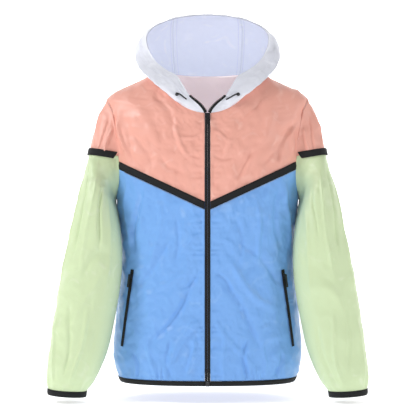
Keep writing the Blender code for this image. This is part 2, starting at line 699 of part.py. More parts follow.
# ---------------------------------------------------------------- front zip
def make_front_zip():
    heights = np.linspace(NECK_FRONT_Z, HEM_Z, 17)
    across = np.array([SEAM / 2, ZIP_HALF - SEAM])
    x, z = np.meshgrid(across, heights)
    angle = theta_at(x, z)
    rise = np.linspace(1, 0, 7)
    front = np.ones_like(rise)
    edge = hood_point(front, rise)
    normal = hood_normal(front, np.maximum(rise, rise[-2]))
    inward = unit(np.cross(normal, np.gradient(edge, axis=0)))
    near = edge + inward * SEAM * 1.5
    width = np.linspace(*ZIP_TOP_WIDTH, len(rise))[:, None]
    far = near + inward * width
    far[0] = (ZIP_GAP, near[0, 1], near[0, 2])
    lifted = np.array((0, 0, 2 * SEAM))
    for side, mirror in (("right", False), ("left", True)):
        wall(f"zip_tape_{side}", body_point(angle, z), body_normal(angle, z), "black",
             low=-ZIP_WALL / 2, high=ZIP_WALL / 2, sides=(), mirror=mirror)
        wall(f"zip_top_{side}", np.stack([near, far], axis=1) + lifted,
             np.stack([normal, normal], axis=1), "black",
             low=-TAPE_WALL / 2, high=TAPE_WALL / 2, sides=(), mirror=mirror)


# ---------------------------------------------------------------- small hard parts
def rounded_plate(width, length, thickness, radius, top=0.0):
    """An upright slab with round corners: X across, Z along from top down, Y its thickness."""
    work = bmesh.new()
    corners = []
    for centre_x, centre_z, start in ((width / 2 - radius, top - radius, 0),
                                      (-width / 2 + radius, top - radius, 90),
                                      (-width / 2 + radius, top - length + radius, 180),
                                      (width / 2 - radius, top - length + radius, 270)):
        for turn in (0, 30, 60, 90):
            angle = math.radians(start + turn)
            corners.append((centre_x + radius * math.cos(angle), -thickness / 2,
                            centre_z + radius * math.sin(angle)))
    face = work.faces.new([work.verts.new(corner) for corner in corners])
    pushed = bmesh.ops.extrude_face_region(work, geom=[face])
    moved = [item for item in pushed["geom"] if isinstance(item, bmesh.types.BMVert)]
    bmesh.ops.translate(work, verts=moved, vec=(0, thickness, 0))
    return finished(work, "plate")


def box(low, high):
    work = bmesh.new()
    bmesh.ops.create_cube(work, size=1.0)
    low, high = Vector(low), Vector(high)
    for vertex in work.verts:
        vertex.co = Vector([(low[k] + high[k]) / 2 + vertex.co[k] * (high[k] - low[k])
                            for k in range(3)])
    return finished(work, "box")


def pin_along_x(radius, half_length, at=(0, 0, 0)):
    work = bmesh.new()
    bmesh.ops.create_cone(work, cap_ends=True, segments=16, radius1=radius, radius2=radius,
                          depth=2 * half_length)
    for vertex in work.verts:
        vertex.co = Vector((vertex.co.z + at[0], vertex.co.y + at[1], vertex.co.x + at[2]))
    return finished(work, "pin")


def finished(work, name):
    bmesh.ops.recalc_face_normals(work, faces=work.faces)
    mesh = bpy.data.meshes.new(name)
    work.to_mesh(mesh)
    work.free()
    return mesh


def combine(name, base, others, finish, frame):
    """One object from a mesh joined with others, placed by its frame."""
    made = add_object(name, base, finish)
    helpers = []
    for mesh in others:
        helper = bpy.data.objects.new("helper", mesh)
        bpy.context.collection.objects.link(helper)
        helper.hide_render = True
        helper.display_type = "WIRE"
        step = made.modifiers.new("join", "BOOLEAN")
        step.operation = "UNION"
        step.object = helper
        helpers.append(helper)
    bpy.context.view_layer.update()
    seen = made.evaluated_get(bpy.context.evaluated_depsgraph_get())
    result = bpy.data.meshes.new_from_object(seen)
    made.modifiers.clear()
    made.data = result
    result.set_sharp_from_angle(angle=math.radians(35))
    for helper in helpers:
        bpy.data.objects.remove(helper, do_unlink=True)
    made.matrix_world = frame
    return made


def frame_on(point, normal, up):
    """A frame at point: -Y along the surface normal, Z as near to up as it can be."""
    back = -Vector(normal).normalized()
    across = back.cross(Vector(up)).normalized()
    rise = across.cross(back).normalized()
    turned = Matrix((across, back, rise)).transposed().to_4x4()
    turned.translation = Vector(point)
    return turned


def make_slider(name, frame, size):
    """Slider plate with two ears and a pin, and the pull tab that swings on the pin.

    The frame's origin lies on the zip's outer face and -Y points away from the cloth.
    """
    width, length, plate, tab_width, tab_length = size
    ear_in = tab_width / 2 + SLIDER_GAP
    ear_out = ear_in + EAR_WALL
    pin_y = -(SLIDER_GAP + plate + EYE_RADIUS + SLIDER_GAP)
    ears = [box((sign * ear_in if sign > 0 else -ear_out, pin_y - EAR_TOP, PIN_Z - EAR_HALF),
                (sign * ear_out if sign > 0 else -ear_in, -SLIDER_GAP - plate / 2,
                 PIN_Z + EAR_HALF)) for sign in (1, -1)]
    pin = pin_along_x(PIN_RADIUS, ear_out - EAR_WALL / 3, (0, pin_y, PIN_Z))
    base = rounded_plate(width, length, plate, SLIDER_CORNER, top=length / 2)
    for vertex in base.vertices:
        vertex.co.y -= SLIDER_GAP + plate / 2
    combine(f"{name}_slider", base, ears + [pin], "black_metal", frame)
    make_pull(f"{name}_pull", frame @ Matrix.Translation((0, pin_y, PIN_Z)), tab_width, tab_length)


def make_pull(name, frame, width, length):
    """A strip curled round the pin and straight from there down; its origin is the pin's axis."""
    radius = PIN_RADIUS + SLIDER_GAP + TAB_WALL / 2
    turn = np.radians(np.linspace(-80, 180, 14))
    curl = np.stack([np.cos(turn), np.sin(turn)], axis=1)
    tail = np.stack([np.full(3, -radius), np.linspace(0, -length, 4)[1:]], axis=1)
    path = np.concatenate([curl * radius, tail])
    facing = np.concatenate([curl, np.tile((-1.0, 0.0), (3, 1))])
    across = np.array([-width / 2, width / 2])
    points = np.stack([np.stack([np.full(len(path), x), path[:, 0], path[:, 1]], axis=1)
                       for x in across], axis=1)
    normals = np.stack([0 * path[:, 0], facing[:, 0], facing[:, 1]], axis=1)
    made = wall(name, points, np.stack([normals, normals], axis=1), "black_metal",
                low=-TAB_WALL / 2, high=TAB_WALL / 2, sides=())
    made.matrix_world = frame


def make_zip_hardware():
    angle = 0.0
    point = body_point(np.array(angle), np.array(SLIDER_Z))
    normal = body_normal(np.array(angle), np.array(SLIDER_Z))
    frame = frame_on(point + normal * ZIP_WALL / 2, normal, (0, 0, 1))
    make_slider("zip", frame, ZIP_SLIDER)
    z = HEM_Z + ZIP_BOX / 2
    point = body_point(np.array(angle), np.array(z))
    normal = body_normal(np.array(angle), np.array(z))
    frame = frame_on(point + normal * (ZIP_WALL / 2 + SLIDER_GAP), normal, (0, 0, 1))
    half = ZIP_BOX_WIDTH / 2
    combine("zip_box", box((-half, -ZIP_BOX_WALL, -ZIP_BOX / 2), (half, 0, ZIP_BOX / 2)), [],
            "black_metal", frame)


def pocket_line(share):
    """Angle and height along a pocket's zip, from its upper end (0) to its lower end (1)."""
    share = np.asarray(share, float)
    bow = POCKET_BOW * np.sin(np.pi * share)
    angle = POCKET_TOP[0] + share * (POCKET_FOOT[0] - POCKET_TOP[0]) + bow
    return angle, POCKET_TOP[1] + share * (POCKET_FOOT[1] - POCKET_TOP[1])


def make_pocket(side, mirror):
    share = np.linspace(0, 1, 13)[:, None]
    angle, z = pocket_line(share)
    middle = body_point(angle, z)
    normal = body_normal(angle, z)
    ahead = body_point(*pocket_line(share + 0.02)) - body_point(*pocket_line(share - 0.02))
    across = unit(np.cross(normal, unit(ahead)))
    width = np.linspace(POCKET_WIDTH[0], POCKET_WIDTH[1], len(share))[:, None, None] / 2
    points = np.concatenate([middle - across * width, middle + across * width], axis=1)
    wall(f"pocket_zip_{side}", points, np.concatenate([normal, normal], axis=1), "black",
         low=TAPE_LIFT, high=TAPE_LIFT + TAPE_WALL, sides=(), mirror=mirror)
    flip = np.array((-1, 1, 1)) if mirror else np.array((1, 1, 1))
    row = int(round(POCKET_SLIDER * (len(share) - 1)))
    point = (middle[row, 0] + normal[row, 0] * (TAPE_LIFT + TAPE_WALL)) * flip
    frame = frame_on(point, normal[row, 0] * flip, unit(-ahead[row, 0]) * flip)
    make_slider(f"pocket_{side}", frame, POCKET_SLIDER_SIZE)


# ---------------------------------------------------------------- drawcord ends and eyelets
def surface_frame(w, v, lift):
    point = hood_point(np.array(w), np.array(v))
    normal = hood_normal(np.array(w), np.array(v))
    return frame_on(point + normal * lift, normal, (0, 0, 1))


def make_eyelet(side, mirror):
    work = bmesh.new()
    ring = []
    for radius, height in ((EYELET_OUT, 0), (EYELET_IN, 0), (EYELET_IN, EYELET_WALL * 0.8),
                           ((EYELET_IN + EYELET_OUT) / 2, EYELET_WALL),
                           (EYELET_OUT, EYELET_WALL * 0.5)):
        ring.append(work.verts.new((radius, -height, 0)))
    edges = [work.edges.new((ring[k], ring[(k + 1) % len(ring)])) for k in range(len(ring))]
    bmesh.ops.spin(work, geom=ring + edges, axis=(0, 1, 0), cent=(0, 0, 0), steps=20,
                   angle=2 * math.pi, use_merge=True, use_duplicate=False)
    bmesh.ops.remove_doubles(work, verts=work.verts, dist=1e-6)
    mesh = finished(work, "eyelet")
    frame = surface_frame(EYELET_W, EYELET_V, WALL / 2 + 2 * SEAM)
    if mirror:
        point = frame.translation.copy()
        normal = -frame.col[1].to_3d()
        point.x, normal.x = -point.x, -normal.x
        frame = frame_on(point, normal, (0, 0, 1))
    combine(f"eyelet_{side}", mesh, [], "black_metal", frame)


# A drawcord end: steps from the eyelet along the hood (towards the zip and down) and away
# from its surface, millimetres.
CORD_RIGHT = (
    (0.0, 0.0, 1.3), (0.1, 0.0, 3.2), (0.9, 0.3, 5.2), (3.0, 1.2, 6.7), (6.5, 2.9, 6.9),
    (10.5, 5.0, 6.1), (14.5, 7.2, 5.2), (18.5, 9.3, 4.6), (22.5, 11.4, 4.3), (26.0, 13.2, 4.1),
)
CORD_LEFT = (
    (0.0, 0.0, 1.3), (0.1, 0.0, 3.4), (0.7, 0.2, 5.9), (2.4, 0.8, 8.1), (5.2, 2.2, 9.2),
    (8.6, 4.0, 8.8), (11.8, 6.0, 7.4), (14.6, 8.0, 5.9), (17.8, 10.3, 4.8), (21.2, 12.8, 4.3),
)


def cord_route(rows, mirror):
    """The route's points in metres, on the axes of the eyelet it leaves."""
    frame = surface_frame(EYELET_W, EYELET_V, 0.0)
    route = []
    for row in rows:
        along, down, away = (value / 1000 for value in row)
        point = frame @ Vector((-along, -away, -down))
        if mirror:
            point.x = -point.x
        route.append(point)
    return route


def make_cord(side, rows, mirror):
    route = np.array([tuple(point) for point in cord_route(rows, mirror)])
    knots = np.arange(len(route))
    fine = np.linspace(0, len(route) - 1, 3 * len(route))
    points = np.stack([smooth(knots, route[:, k], fine) for k in range(3)], axis=1)
    curve = bpy.data.curves.new(f"cord_{side}", "CURVE")
    curve.dimensions = "3D"
    curve.bevel_depth = CORD_DIAMETER / 2
    curve.bevel_resolution = 2
    curve.use_fill_caps = True
    spline = curve.splines.new("POLY")
    spline.points.add(len(points) - 1)
    for place, point in zip(spline.points, points):
        place.co = (*point, 1.0)
    add_object(f"cord_{side}", curve, "black")


def main():
    for old in list(bpy.data.objects):
        bpy.data.objects.remove(old, do_unlink=True)
    make_body_panels()
    make_hood()
    make_hood_trim()
    make_front_zip()
    make_zip_hardware()
    for side, mirror, rows in (("right", False, CORD_RIGHT), ("left", True, CORD_LEFT)):
        make_sleeve(side, mirror)
        make_pocket(side, mirror)
        make_eyelet(side, mirror)
        make_cord(side, rows, mirror)


main()
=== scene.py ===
"""Looks of the hooded windbreaker: thin nylon shells with their creases, tapes, zips and cords."""
import json
import math

import bpy
import numpy as np
from mathutils import Matrix, Vector

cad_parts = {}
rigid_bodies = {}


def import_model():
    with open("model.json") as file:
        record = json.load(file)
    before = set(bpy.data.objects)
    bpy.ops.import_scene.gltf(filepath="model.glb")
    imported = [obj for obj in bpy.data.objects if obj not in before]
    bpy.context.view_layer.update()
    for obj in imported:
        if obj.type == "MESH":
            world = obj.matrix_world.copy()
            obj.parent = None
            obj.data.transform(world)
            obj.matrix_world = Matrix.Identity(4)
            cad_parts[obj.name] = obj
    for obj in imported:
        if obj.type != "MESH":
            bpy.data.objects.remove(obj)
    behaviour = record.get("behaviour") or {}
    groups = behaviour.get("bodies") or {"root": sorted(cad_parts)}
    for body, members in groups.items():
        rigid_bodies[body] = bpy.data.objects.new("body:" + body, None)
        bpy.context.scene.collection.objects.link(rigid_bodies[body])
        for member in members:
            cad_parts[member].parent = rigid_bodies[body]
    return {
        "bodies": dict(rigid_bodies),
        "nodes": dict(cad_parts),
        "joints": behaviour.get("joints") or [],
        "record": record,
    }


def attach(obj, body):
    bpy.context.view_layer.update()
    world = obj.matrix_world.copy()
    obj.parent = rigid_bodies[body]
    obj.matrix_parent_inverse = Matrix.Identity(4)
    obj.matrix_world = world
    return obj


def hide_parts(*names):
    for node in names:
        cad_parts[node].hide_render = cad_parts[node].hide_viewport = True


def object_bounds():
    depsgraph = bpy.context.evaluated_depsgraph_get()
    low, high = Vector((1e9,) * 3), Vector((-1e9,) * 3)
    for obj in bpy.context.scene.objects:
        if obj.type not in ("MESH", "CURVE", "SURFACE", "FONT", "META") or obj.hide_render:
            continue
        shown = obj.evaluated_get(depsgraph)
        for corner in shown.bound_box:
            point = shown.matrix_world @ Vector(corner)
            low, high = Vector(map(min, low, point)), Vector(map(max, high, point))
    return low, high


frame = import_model()
cad_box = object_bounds()

# ---------------------------------------------------------------- sizes, metres
WALL = 0.0012            # cloth panel thickness
SEAM = 0.00032           # gap between neighbouring pieces
TAPE_WALL = 0.0010       # webbing tape thickness
TAPE_LIFT = 0.0013       # mid-surface of the cloth to the underside of a tape on it
TAPE_HALF = 0.0076       # half width of the black tapes, measured up and down
BINDING_WALL = 0.0022    # hem and cuff bindings

HEM_Z = -0.675           # lower edge of the hem binding
HEM_BAND = 0.0105        # height of the hem binding
CUFF_BAND = 0.0125       # height of a cuff binding
ZIP_HALF = 0.0060        # half width of the closed front zip
ZIP_WALL = 0.0018
NECK_HALF = 0.100        # half width of the neck opening at the shoulder seam
NECK_FRONT_Z = -0.088    # bottom of the neck opening at the front zip
NECK_SIDE_Z = 0.0135
NECK_BACK_Z = 0.004
RING_POWER = 2.4         # roundness of the body's rings, 2 is an ellipse
ARM_TOP_Z = -0.050
ARM_BOTTOM_Z = -0.262
ARM_POWER = 2.6
ARM_FRONT_TURN = 28.0    # degrees that the front armhole cuts in from the side
ARM_BACK_TURN = 23.0
CHEVRON_Z = -0.291       # centre line of the chevron tape at the zip
CHEVRON_RISE = 0.468     # rise of the chevron for each metre across
BACK_LINE_Z = -0.200     # the tape across the back
BAND_Z = -0.1702         # sleeve band at the outer side
BAND_TILT = 0.15         # drop of the band towards the body
BAND_X = 0.258
CHANNEL = 0.021          # width of the hood's drawcord channel
CORD_DIAMETER = 0.003
NECK_TAPE = 0.0085       # height of the binding inside the back neck seam
NECK_TAPE_FOOT = 0.0012
NECK_TAPE_W = 0.35       # how far round the hood it runs
ZIP_TOP_WIDTH = (0.0052, 0.0030)   # open zip tape at the neck seam and at its upper end
ZIP_GAP = 0.0008         # from the middle to the open tape where it leaves the slider
ZIP_BOX = 0.0110
ZIP_BOX_WIDTH = 0.0080
ZIP_BOX_WALL = 0.0026
SLIDER_Z = -0.0960

# Sliders: plate width, length and thickness, pull tab width and length.
ZIP_SLIDER = (0.0090, 0.0140, 0.0024, 0.0050, 0.0225)
POCKET_SLIDER_SIZE = (0.0076, 0.0105, 0.0020, 0.0046, 0.0260)
SLIDER_GAP = 0.00035
SLIDER_CORNER = 0.0024
EAR_WALL = 0.0010
EAR_HALF = 0.0015
EAR_TOP = 0.0012
EYE_RADIUS = 0.0022
PIN_RADIUS = 0.0008
PIN_Z = 0.0016
TAB_WALL = 0.0010

POCKET_TOP = (53.2, -0.4270)       # angle and height of a pocket zip's upper end
POCKET_FOOT = (60.0, -0.5940)
POCKET_BOW = 0.5
POCKET_WIDTH = (0.0085, 0.0070)
POCKET_SLIDER = 1 / 12   # place of the slider along the zip

EYELET_W = 0.828         # place of the eyelets on the hood
EYELET_V = 0.523
EYELET_OUT = 0.0040
EYELET_IN = 0.0020
EYELET_WALL = 0.0010

# Rings of the body by height: half width, depth to the front, depth to the back.
BODY_COLUMNS = ("z", "half_width", "front", "back")
BODY_ROWS = (
    (-0.680, 0.190, 0.1135, 0.1120),
    (-0.650, 0.203, 0.1180, 0.1155),
    (-0.610, 0.2085, 0.1210, 0.1165),
    (-0.550, 0.2045, 0.1230, 0.1145),
    (-0.450, 0.1960, 0.1250, 0.1100),
    (-0.350, 0.1930, 0.1260, 0.1120),
    (-0.262, 0.2015, 0.1230, 0.1200),
    (-0.200, 0.2120, 0.1170, 0.1220),
    (-0.160, 0.2180, 0.1100, 0.1200),
    (-0.125, 0.2220, 0.1010, 0.1150),
    (-0.080, 0.2240, 0.0860, 0.1040),
    (-0.050, 0.2220, 0.0690, 0.0920),
    (-0.0395, 0.2100, 0.0640, 0.0860),
    (-0.0128, 0.1546, 0.0500, 0.0680),
    (0.0135, 0.1000, 0.0340, 0.0500),
    (0.0300, 0.0660, 0.0240, 0.0380),
)

# Rings of a sleeve from the armhole to the cuff: the outer and the inner point of each ring in
# the front view, how far forward its middle lies, and half its depth.
SLEEVE_COLUMNS = ("out_x", "out_z", "in_x", "in_z", "mid_y", "half_depth")
SLEEVE_ROWS = (
    (0.2220, -0.050, 0.2020, -0.262, 0.004, 0.078),
    (0.2440, -0.093, 0.2020, -0.268, 0.001, 0.077),
    (0.2570, -0.146, 0.2030, -0.280, -0.008, 0.074),
    (0.2670, -0.203, 0.1970, -0.302, -0.038, 0.069),
    (0.2850, -0.277, 0.1890, -0.347, -0.062, 0.063),
    (0.3020, -0.358, 0.1850, -0.402, -0.074, 0.059),
    (0.3180, -0.437, 0.1890, -0.462, -0.079, 0.057),
    (0.3320, -0.525, 0.2015, -0.536, -0.081, 0.056),
    (0.3430, -0.600, 0.2170, -0.604, -0.081, 0.053),
    (0.3485, -0.656, 0.2420, -0.662, -0.080, 0.046),
    (0.3455, -0.684, 0.2620, -0.690, -0.080, 0.036),
    (0.3450, -0.700, 0.2640, -0.706, -0.080, 0.034),
)
CUFF_RING = 9.97         # ring number where the cuff binding starts

# The hood, from the top of the face opening (w = 0) round to the front corner (w = 1):
# the opening's edge, the matching place on the neck seam in degrees from the front, and how
# the cloth leaves the edge (a) and the seam (b) before it meets half way.
HOOD_COLUMNS = ("w", "x", "y", "z", "tau", "ax", "ay", "az", "bx", "by", "bz")
HOOD_ROWS = (
    (0.00, 0.0000, 0.030, 0.1405, 180.0, 0.000, 0.200, 0.060, 0.000, 0.185, -0.130),
    (0.12, 0.0700, 0.027, 0.1330, 147.0, 0.020, 0.185, 0.050, 0.022, 0.170, -0.105),
    (0.24, 0.1200, 0.018, 0.1120, 126.0, 0.042, 0.130, 0.022, 0.050, 0.115, -0.045),
    (0.34, 0.1360, 0.008, 0.0900, 108.0, 0.046, 0.080, 0.008, 0.066, 0.050, 0.004),
    (0.42, 0.1343, -0.002, 0.0689, 90.0, 0.048, 0.040, -0.004, 0.072, 0.012, 0.002),
    (0.54, 0.1158, -0.020, 0.0335, 73.0, 0.044, 0.004, -0.014, 0.056, -0.012, 0.006),
    (0.66, 0.0889, -0.040, 0.0099, 56.0, 0.032, -0.016, -0.016, 0.036, -0.020, 0.010),
    (0.78, 0.0665, -0.058, -0.0046, 38.0, 0.018, -0.018, -0.020, 0.022, -0.016, 0.012),
    (0.90, 0.0500, -0.075, -0.0310, 20.0, 0.006, -0.010, -0.015, 0.010, -0.006, 0.014),
    (1.00, 0.0390, -0.086, -0.0505, 3.4, -0.010, -0.003, -0.012, 0.006, -0.002, 0.016),
)


# ---------------------------------------------------------------- curves through tables
def smooth(knots, values, at):
    """Cubic through the knots, its slope at each one the mean of its two neighbours' slopes."""
    knots = np.asarray(knots, float)
    values = np.asarray(values, float)
    slopes = np.gradient(values, knots)
    at = np.clip(np.asarray(at, float), knots[0], knots[-1])
    cell = np.clip(np.searchsorted(knots, at, side="right") - 1, 0, len(knots) - 2)
    step = knots[cell + 1] - knots[cell]
    t = (at - knots[cell]) / step
    start = (2 * t**3 - 3 * t**2 + 1) * values[cell] + (t**3 - 2 * t**2 + t) * step * slopes[cell]
    end = (3 * t**2 - 2 * t**3) * values[cell + 1] + (t**3 - t**2) * step * slopes[cell + 1]
    return start + end


def column(rows, names, name):
    return np.array([row[names.index(name)] for row in rows])


def body_ring(z):
    """Half width, front depth and back depth of the body at height z."""
    heights = column(BODY_ROWS, BODY_COLUMNS, "z")
    return [smooth(heights, column(BODY_ROWS, BODY_COLUMNS, name), z)
            for name in ("half_width", "front", "back")]


def unit(vectors):
    return vectors / np.maximum(np.linalg.norm(vectors, axis=-1, keepdims=True), 1e-12)


# ---------------------------------------------------------------- the body's form
def body_point(theta, z):
    """Point at theta degrees round from the front (90 is the wearer's side at +X), height z.

    Each ring is a superellipse: |x / width| ** n + |y / depth| ** n = 1.
    """
    width, front, back = body_ring(z)
    sine = np.sin(np.radians(theta))
    cosine = np.cos(np.radians(theta))
    depth = np.where(cosine > 0, front, back)
    power = 2 / RING_POWER
    x = width * np.sign(sine) * np.abs(sine) ** power
    y = -depth * np.sign(cosine) * np.abs(cosine) ** power
    return np.stack([x, y, np.broadcast_to(z, x.shape)], axis=-1)


def body_normal(theta, z):
    """Gradient of the ring equation, which points out of the body."""
    point = body_point(theta, z)
    width, front, back = body_ring(z)
    step = 0.0005
    above = body_ring(np.asarray(z) + step)
    below = body_ring(np.asarray(z) - step)
    is_front = point[..., 1] < 0
    depth = np.where(is_front, front, back)
    depth_slope = np.where(is_front, above[1] - below[1], above[2] - below[2]) / (2 * step)
    width_slope = (above[0] - below[0]) / (2 * step)
    across = np.abs(point[..., 0]) / width
    through = np.abs(point[..., 1]) / depth
    grad_x = np.sign(point[..., 0]) * across ** (RING_POWER - 1) / width
    grad_y = np.sign(point[..., 1]) * through ** (RING_POWER - 1) / depth
    grad_z = -across**RING_POWER * width_slope / width - through**RING_POWER * depth_slope / depth
    return unit(np.stack([grad_x, grad_y, grad_z], axis=-1))


def theta_at(x, z):
    """Angle from the front of the point x metres across, on the front half."""
    across = np.clip(np.abs(x) / body_ring(z)[0], 0, 1)
    return np.degrees(np.arcsin(across ** (RING_POWER / 2)))


def neck(tau):
    """Angle and height on the body's form of the neck seam, tau degrees round from the front."""
    cosine = np.cos(np.radians(tau))
    front = NECK_FRONT_Z + (NECK_SIDE_Z - NECK_FRONT_Z) * (1 - cosine)
    back = NECK_BACK_Z + (NECK_SIDE_Z - NECK_BACK_Z) * (1 + cosine)
    z = np.where(cosine > 0, front, back)
    angle = theta_at(NECK_HALF * np.sin(np.radians(tau)), z)
    return np.where(cosine > 0, angle, 180 - angle), z


def armhole(t):
    """Angle and height on the body's form of the armhole; t = 0 top, 180 underarm, > 180 back."""
    sine = np.sin(np.radians(t))
    cosine = np.cos(np.radians(t))
    power = 2 / ARM_POWER
    middle = (ARM_TOP_Z + ARM_BOTTOM_Z) / 2
    half = (ARM_TOP_Z - ARM_BOTTOM_Z) / 2
    z = middle + half * np.sign(cosine) * np.abs(cosine) ** power
    turn = np.where(sine > 0, -ARM_FRONT_TURN, ARM_BACK_TURN) * np.abs(sine) ** power
    return 90 + turn, z


def crossing(gap, low, high):
    """The place between low and high where gap() passes through zero, by halving."""
    low = np.asarray(low, float).copy()
    high = np.asarray(high, float).copy()
    for _ in range(40):
        middle = (low + high) / 2
        over = gap(middle) > 0
        low = np.where(over, middle, low)
        high = np.where(over, high, middle)
    return (low + high) / 2


def chevron_gap(t):
    point = body_point(*armhole(t))
    return point[..., 2] - (CHEVRON_Z + CHEVRON_RISE * point[..., 0])


def band_gap(point):
    """Height of a point above the sleeve band's tilted plane."""
    return point[..., 2] - (BAND_Z - BAND_TILT * (BAND_X - point[..., 0]))


# ---------------------------------------------------------------- the sleeve's form
def sleeve_ring(t, ring):
    """An ellipse from the outer point to the inner one, with its own depth front to back."""
    numbers = np.arange(len(SLEEVE_ROWS))
    get = {name: smooth(numbers, column(SLEEVE_ROWS, SLEEVE_COLUMNS, name), ring)
           for name in SLEEVE_COLUMNS}
    cosine = np.cos(np.radians(t))
    sine = np.sin(np.radians(t))
    x = (get["out_x"] + get["in_x"]) / 2 + cosine * (get["out_x"] - get["in_x"]) / 2
    z = (get["out_z"] + get["in_z"]) / 2 + cosine * (get["out_z"] - get["in_z"]) / 2
    y = get["mid_y"] - sine * get["half_depth"]
    return np.stack(np.broadcast_arrays(x, y, z), axis=-1)


def sleeve_point(t, ring):
    """The rings, pulled onto the armhole's curve where the sleeve starts."""
    t, ring = np.broadcast_arrays(np.asarray(t, float), np.asarray(ring, float))
    start = body_point(*armhole(t % 360)) - sleeve_ring(t, np.zeros_like(ring))
    fade = np.clip(1 - ring / 3.0, 0, 1)
    fade = fade * fade * (3 - 2 * fade)
    return sleeve_ring(t, ring) + start * fade[..., None]


def sleeve_normal(t, ring):
    """Across both directions of the sleeve's form, pointing out of the tube."""
    t, ring = np.broadcast_arrays(np.asarray(t, float), np.asarray(ring, float))
    ring = np.maximum(ring, 0.02)
    along = sleeve_point(t, ring + 0.02) - sleeve_point(t, ring - 0.02)
    around = sleeve_point(t + 0.5, ring) - sleeve_point(t - 0.5, ring)
    return unit(np.cross(around, along))


def armhole_normal(t):
    """Half way between the body's and the sleeve's normals, so the two walls meet as a mitre."""
    return unit(body_normal(*armhole(t)) + sleeve_normal(t, 0 * np.asarray(t, float)))


# ---------------------------------------------------------------- the hood's form
def hood_table(name, w):
    """A column of the hood's table carried across the middle, mirrored for sideways values."""
    knots = column(HOOD_ROWS, HOOD_COLUMNS, "w")
    values = column(HOOD_ROWS, HOOD_COLUMNS, name)
    flip = -1 if name in ("x", "ax", "bx") else 1
    return smooth(np.concatenate([-knots[:0:-1], knots]),
                  np.concatenate([flip * values[:0:-1], values]), w)


def hood_tau(w):
    """Where column w of the hood meets the neck seam: straight between the table's rows."""
    knots = column(HOOD_ROWS, HOOD_COLUMNS, "w")
    side = np.interp(np.abs(w), knots, column(HOOD_ROWS, HOOD_COLUMNS, "tau"))
    return np.where(np.asarray(w) < 0, 360 - side, side)


def neck_point(tau):
    """The neck seam all the way round, tau over 180 on the wearer's other side."""
    other = np.asarray(tau) > 180
    point = body_point(*neck(np.where(other, 360 - tau, tau)))
    point[..., 0] = np.where(other, -point[..., 0], point[..., 0])
    return point


def hood_point(w, v):
    """A cubic from the face opening (v = 0) to the neck seam (v = 1) by way of a and b."""
    w, v = np.broadcast_arrays(np.asarray(w, float), np.asarray(v, float))
    edge = np.stack([hood_table(name, w) for name in ("x", "y", "z")], axis=-1)
    leave = edge + np.stack([hood_table(name, w) for name in ("ax", "ay", "az")], axis=-1)
    seam = neck_point(hood_tau(w))
    reach = seam + np.stack([hood_table(name, w) for name in ("bx", "by", "bz")], axis=-1)
    s = v[..., None]
    return (1 - s)**3 * edge + 3 * s * (1 - s)**2 * leave + 3 * s**2 * (1 - s) * reach + s**3 * seam


def hood_normal(w, v):
    """Across both directions of the hood's form, pointing away from the wearer's head."""
    w, v = np.broadcast_arrays(np.asarray(w, float), np.asarray(v, float))
    w = np.clip(w, -0.985, 0.985)
    v = np.clip(v, 0.01, 0.99)
    along = hood_point(w, v + 0.01) - hood_point(w, v - 0.01)
    around = hood_point(w + 0.012, v) - hood_point(w - 0.012, v)
    return unit(np.cross(around, along))


def neck_normal(w):
    """Half way between the body's and the hood's normals at the neck seam."""
    tau = hood_tau(w)
    other = tau > 180
    body = body_normal(*neck(np.where(other, 360 - tau, tau)))
    body[..., 0] = np.where(other, -body[..., 0], body[..., 0])
    return unit(body + hood_normal(w, np.ones_like(np.asarray(w, float))))


# ---------------------------------------------------------------- shared seam samples
NECK_FRONT_TAU = np.array([3.4, 20.0, 38.0, 56.0, 73.0, 90.0])
NECK_BACK_TAU = np.array([180.0, 163.5, 147.0, 126.0, 108.0, 90.0])
SHOULDER_STEPS = 4
CHEVRON_T = float(crossing(chevron_gap, 60.0, 160.0))
BACK_T = float(crossing(lambda t: armhole(360 - t)[1] - BACK_LINE_Z, 60.0, 160.0))
BAND_FRONT_T = float(crossing(lambda t: band_gap(body_point(*armhole(t))), 60.0, 160.0))
BAND_BACK_T = float(crossing(lambda t: band_gap(body_point(*armhole(360 - t))), 60.0, 160.0))


def armhole_samples(band_t, line_t):
    """Angles down one half of the armhole: eight to the band, the tape's end, three to the underarm."""
    upper = np.append(np.linspace(0, band_t, 9), line_t)
    lower = np.linspace(line_t, 180, 4)
    return upper, lower


FRONT_UPPER, FRONT_LOWER = armhole_samples(BAND_FRONT_T, CHEVRON_T)
BACK_UPPER, BACK_LOWER = armhole_samples(BAND_BACK_T, BACK_T)


def yoke_top(neck_tau):
    """Angle and height along the neck and then down the shoulder seam."""
    angle, z = neck(neck_tau)
    shoulder = np.linspace(NECK_SIDE_Z, ARM_TOP_Z, SHOULDER_STEPS + 1)[1:]
    return np.append(angle, np.full(SHOULDER_STEPS, 90.0)), np.append(z, shoulder)


def rule_between(low, high, fractions):
    """Rows of (angle, height) between a lower and an upper edge, each a pair of arrays."""
    share = np.asarray(fractions)[:, None]
    return tuple(low[k][None, :] * (1 - share) + high[k][None, :] * share for k in (0, 1))


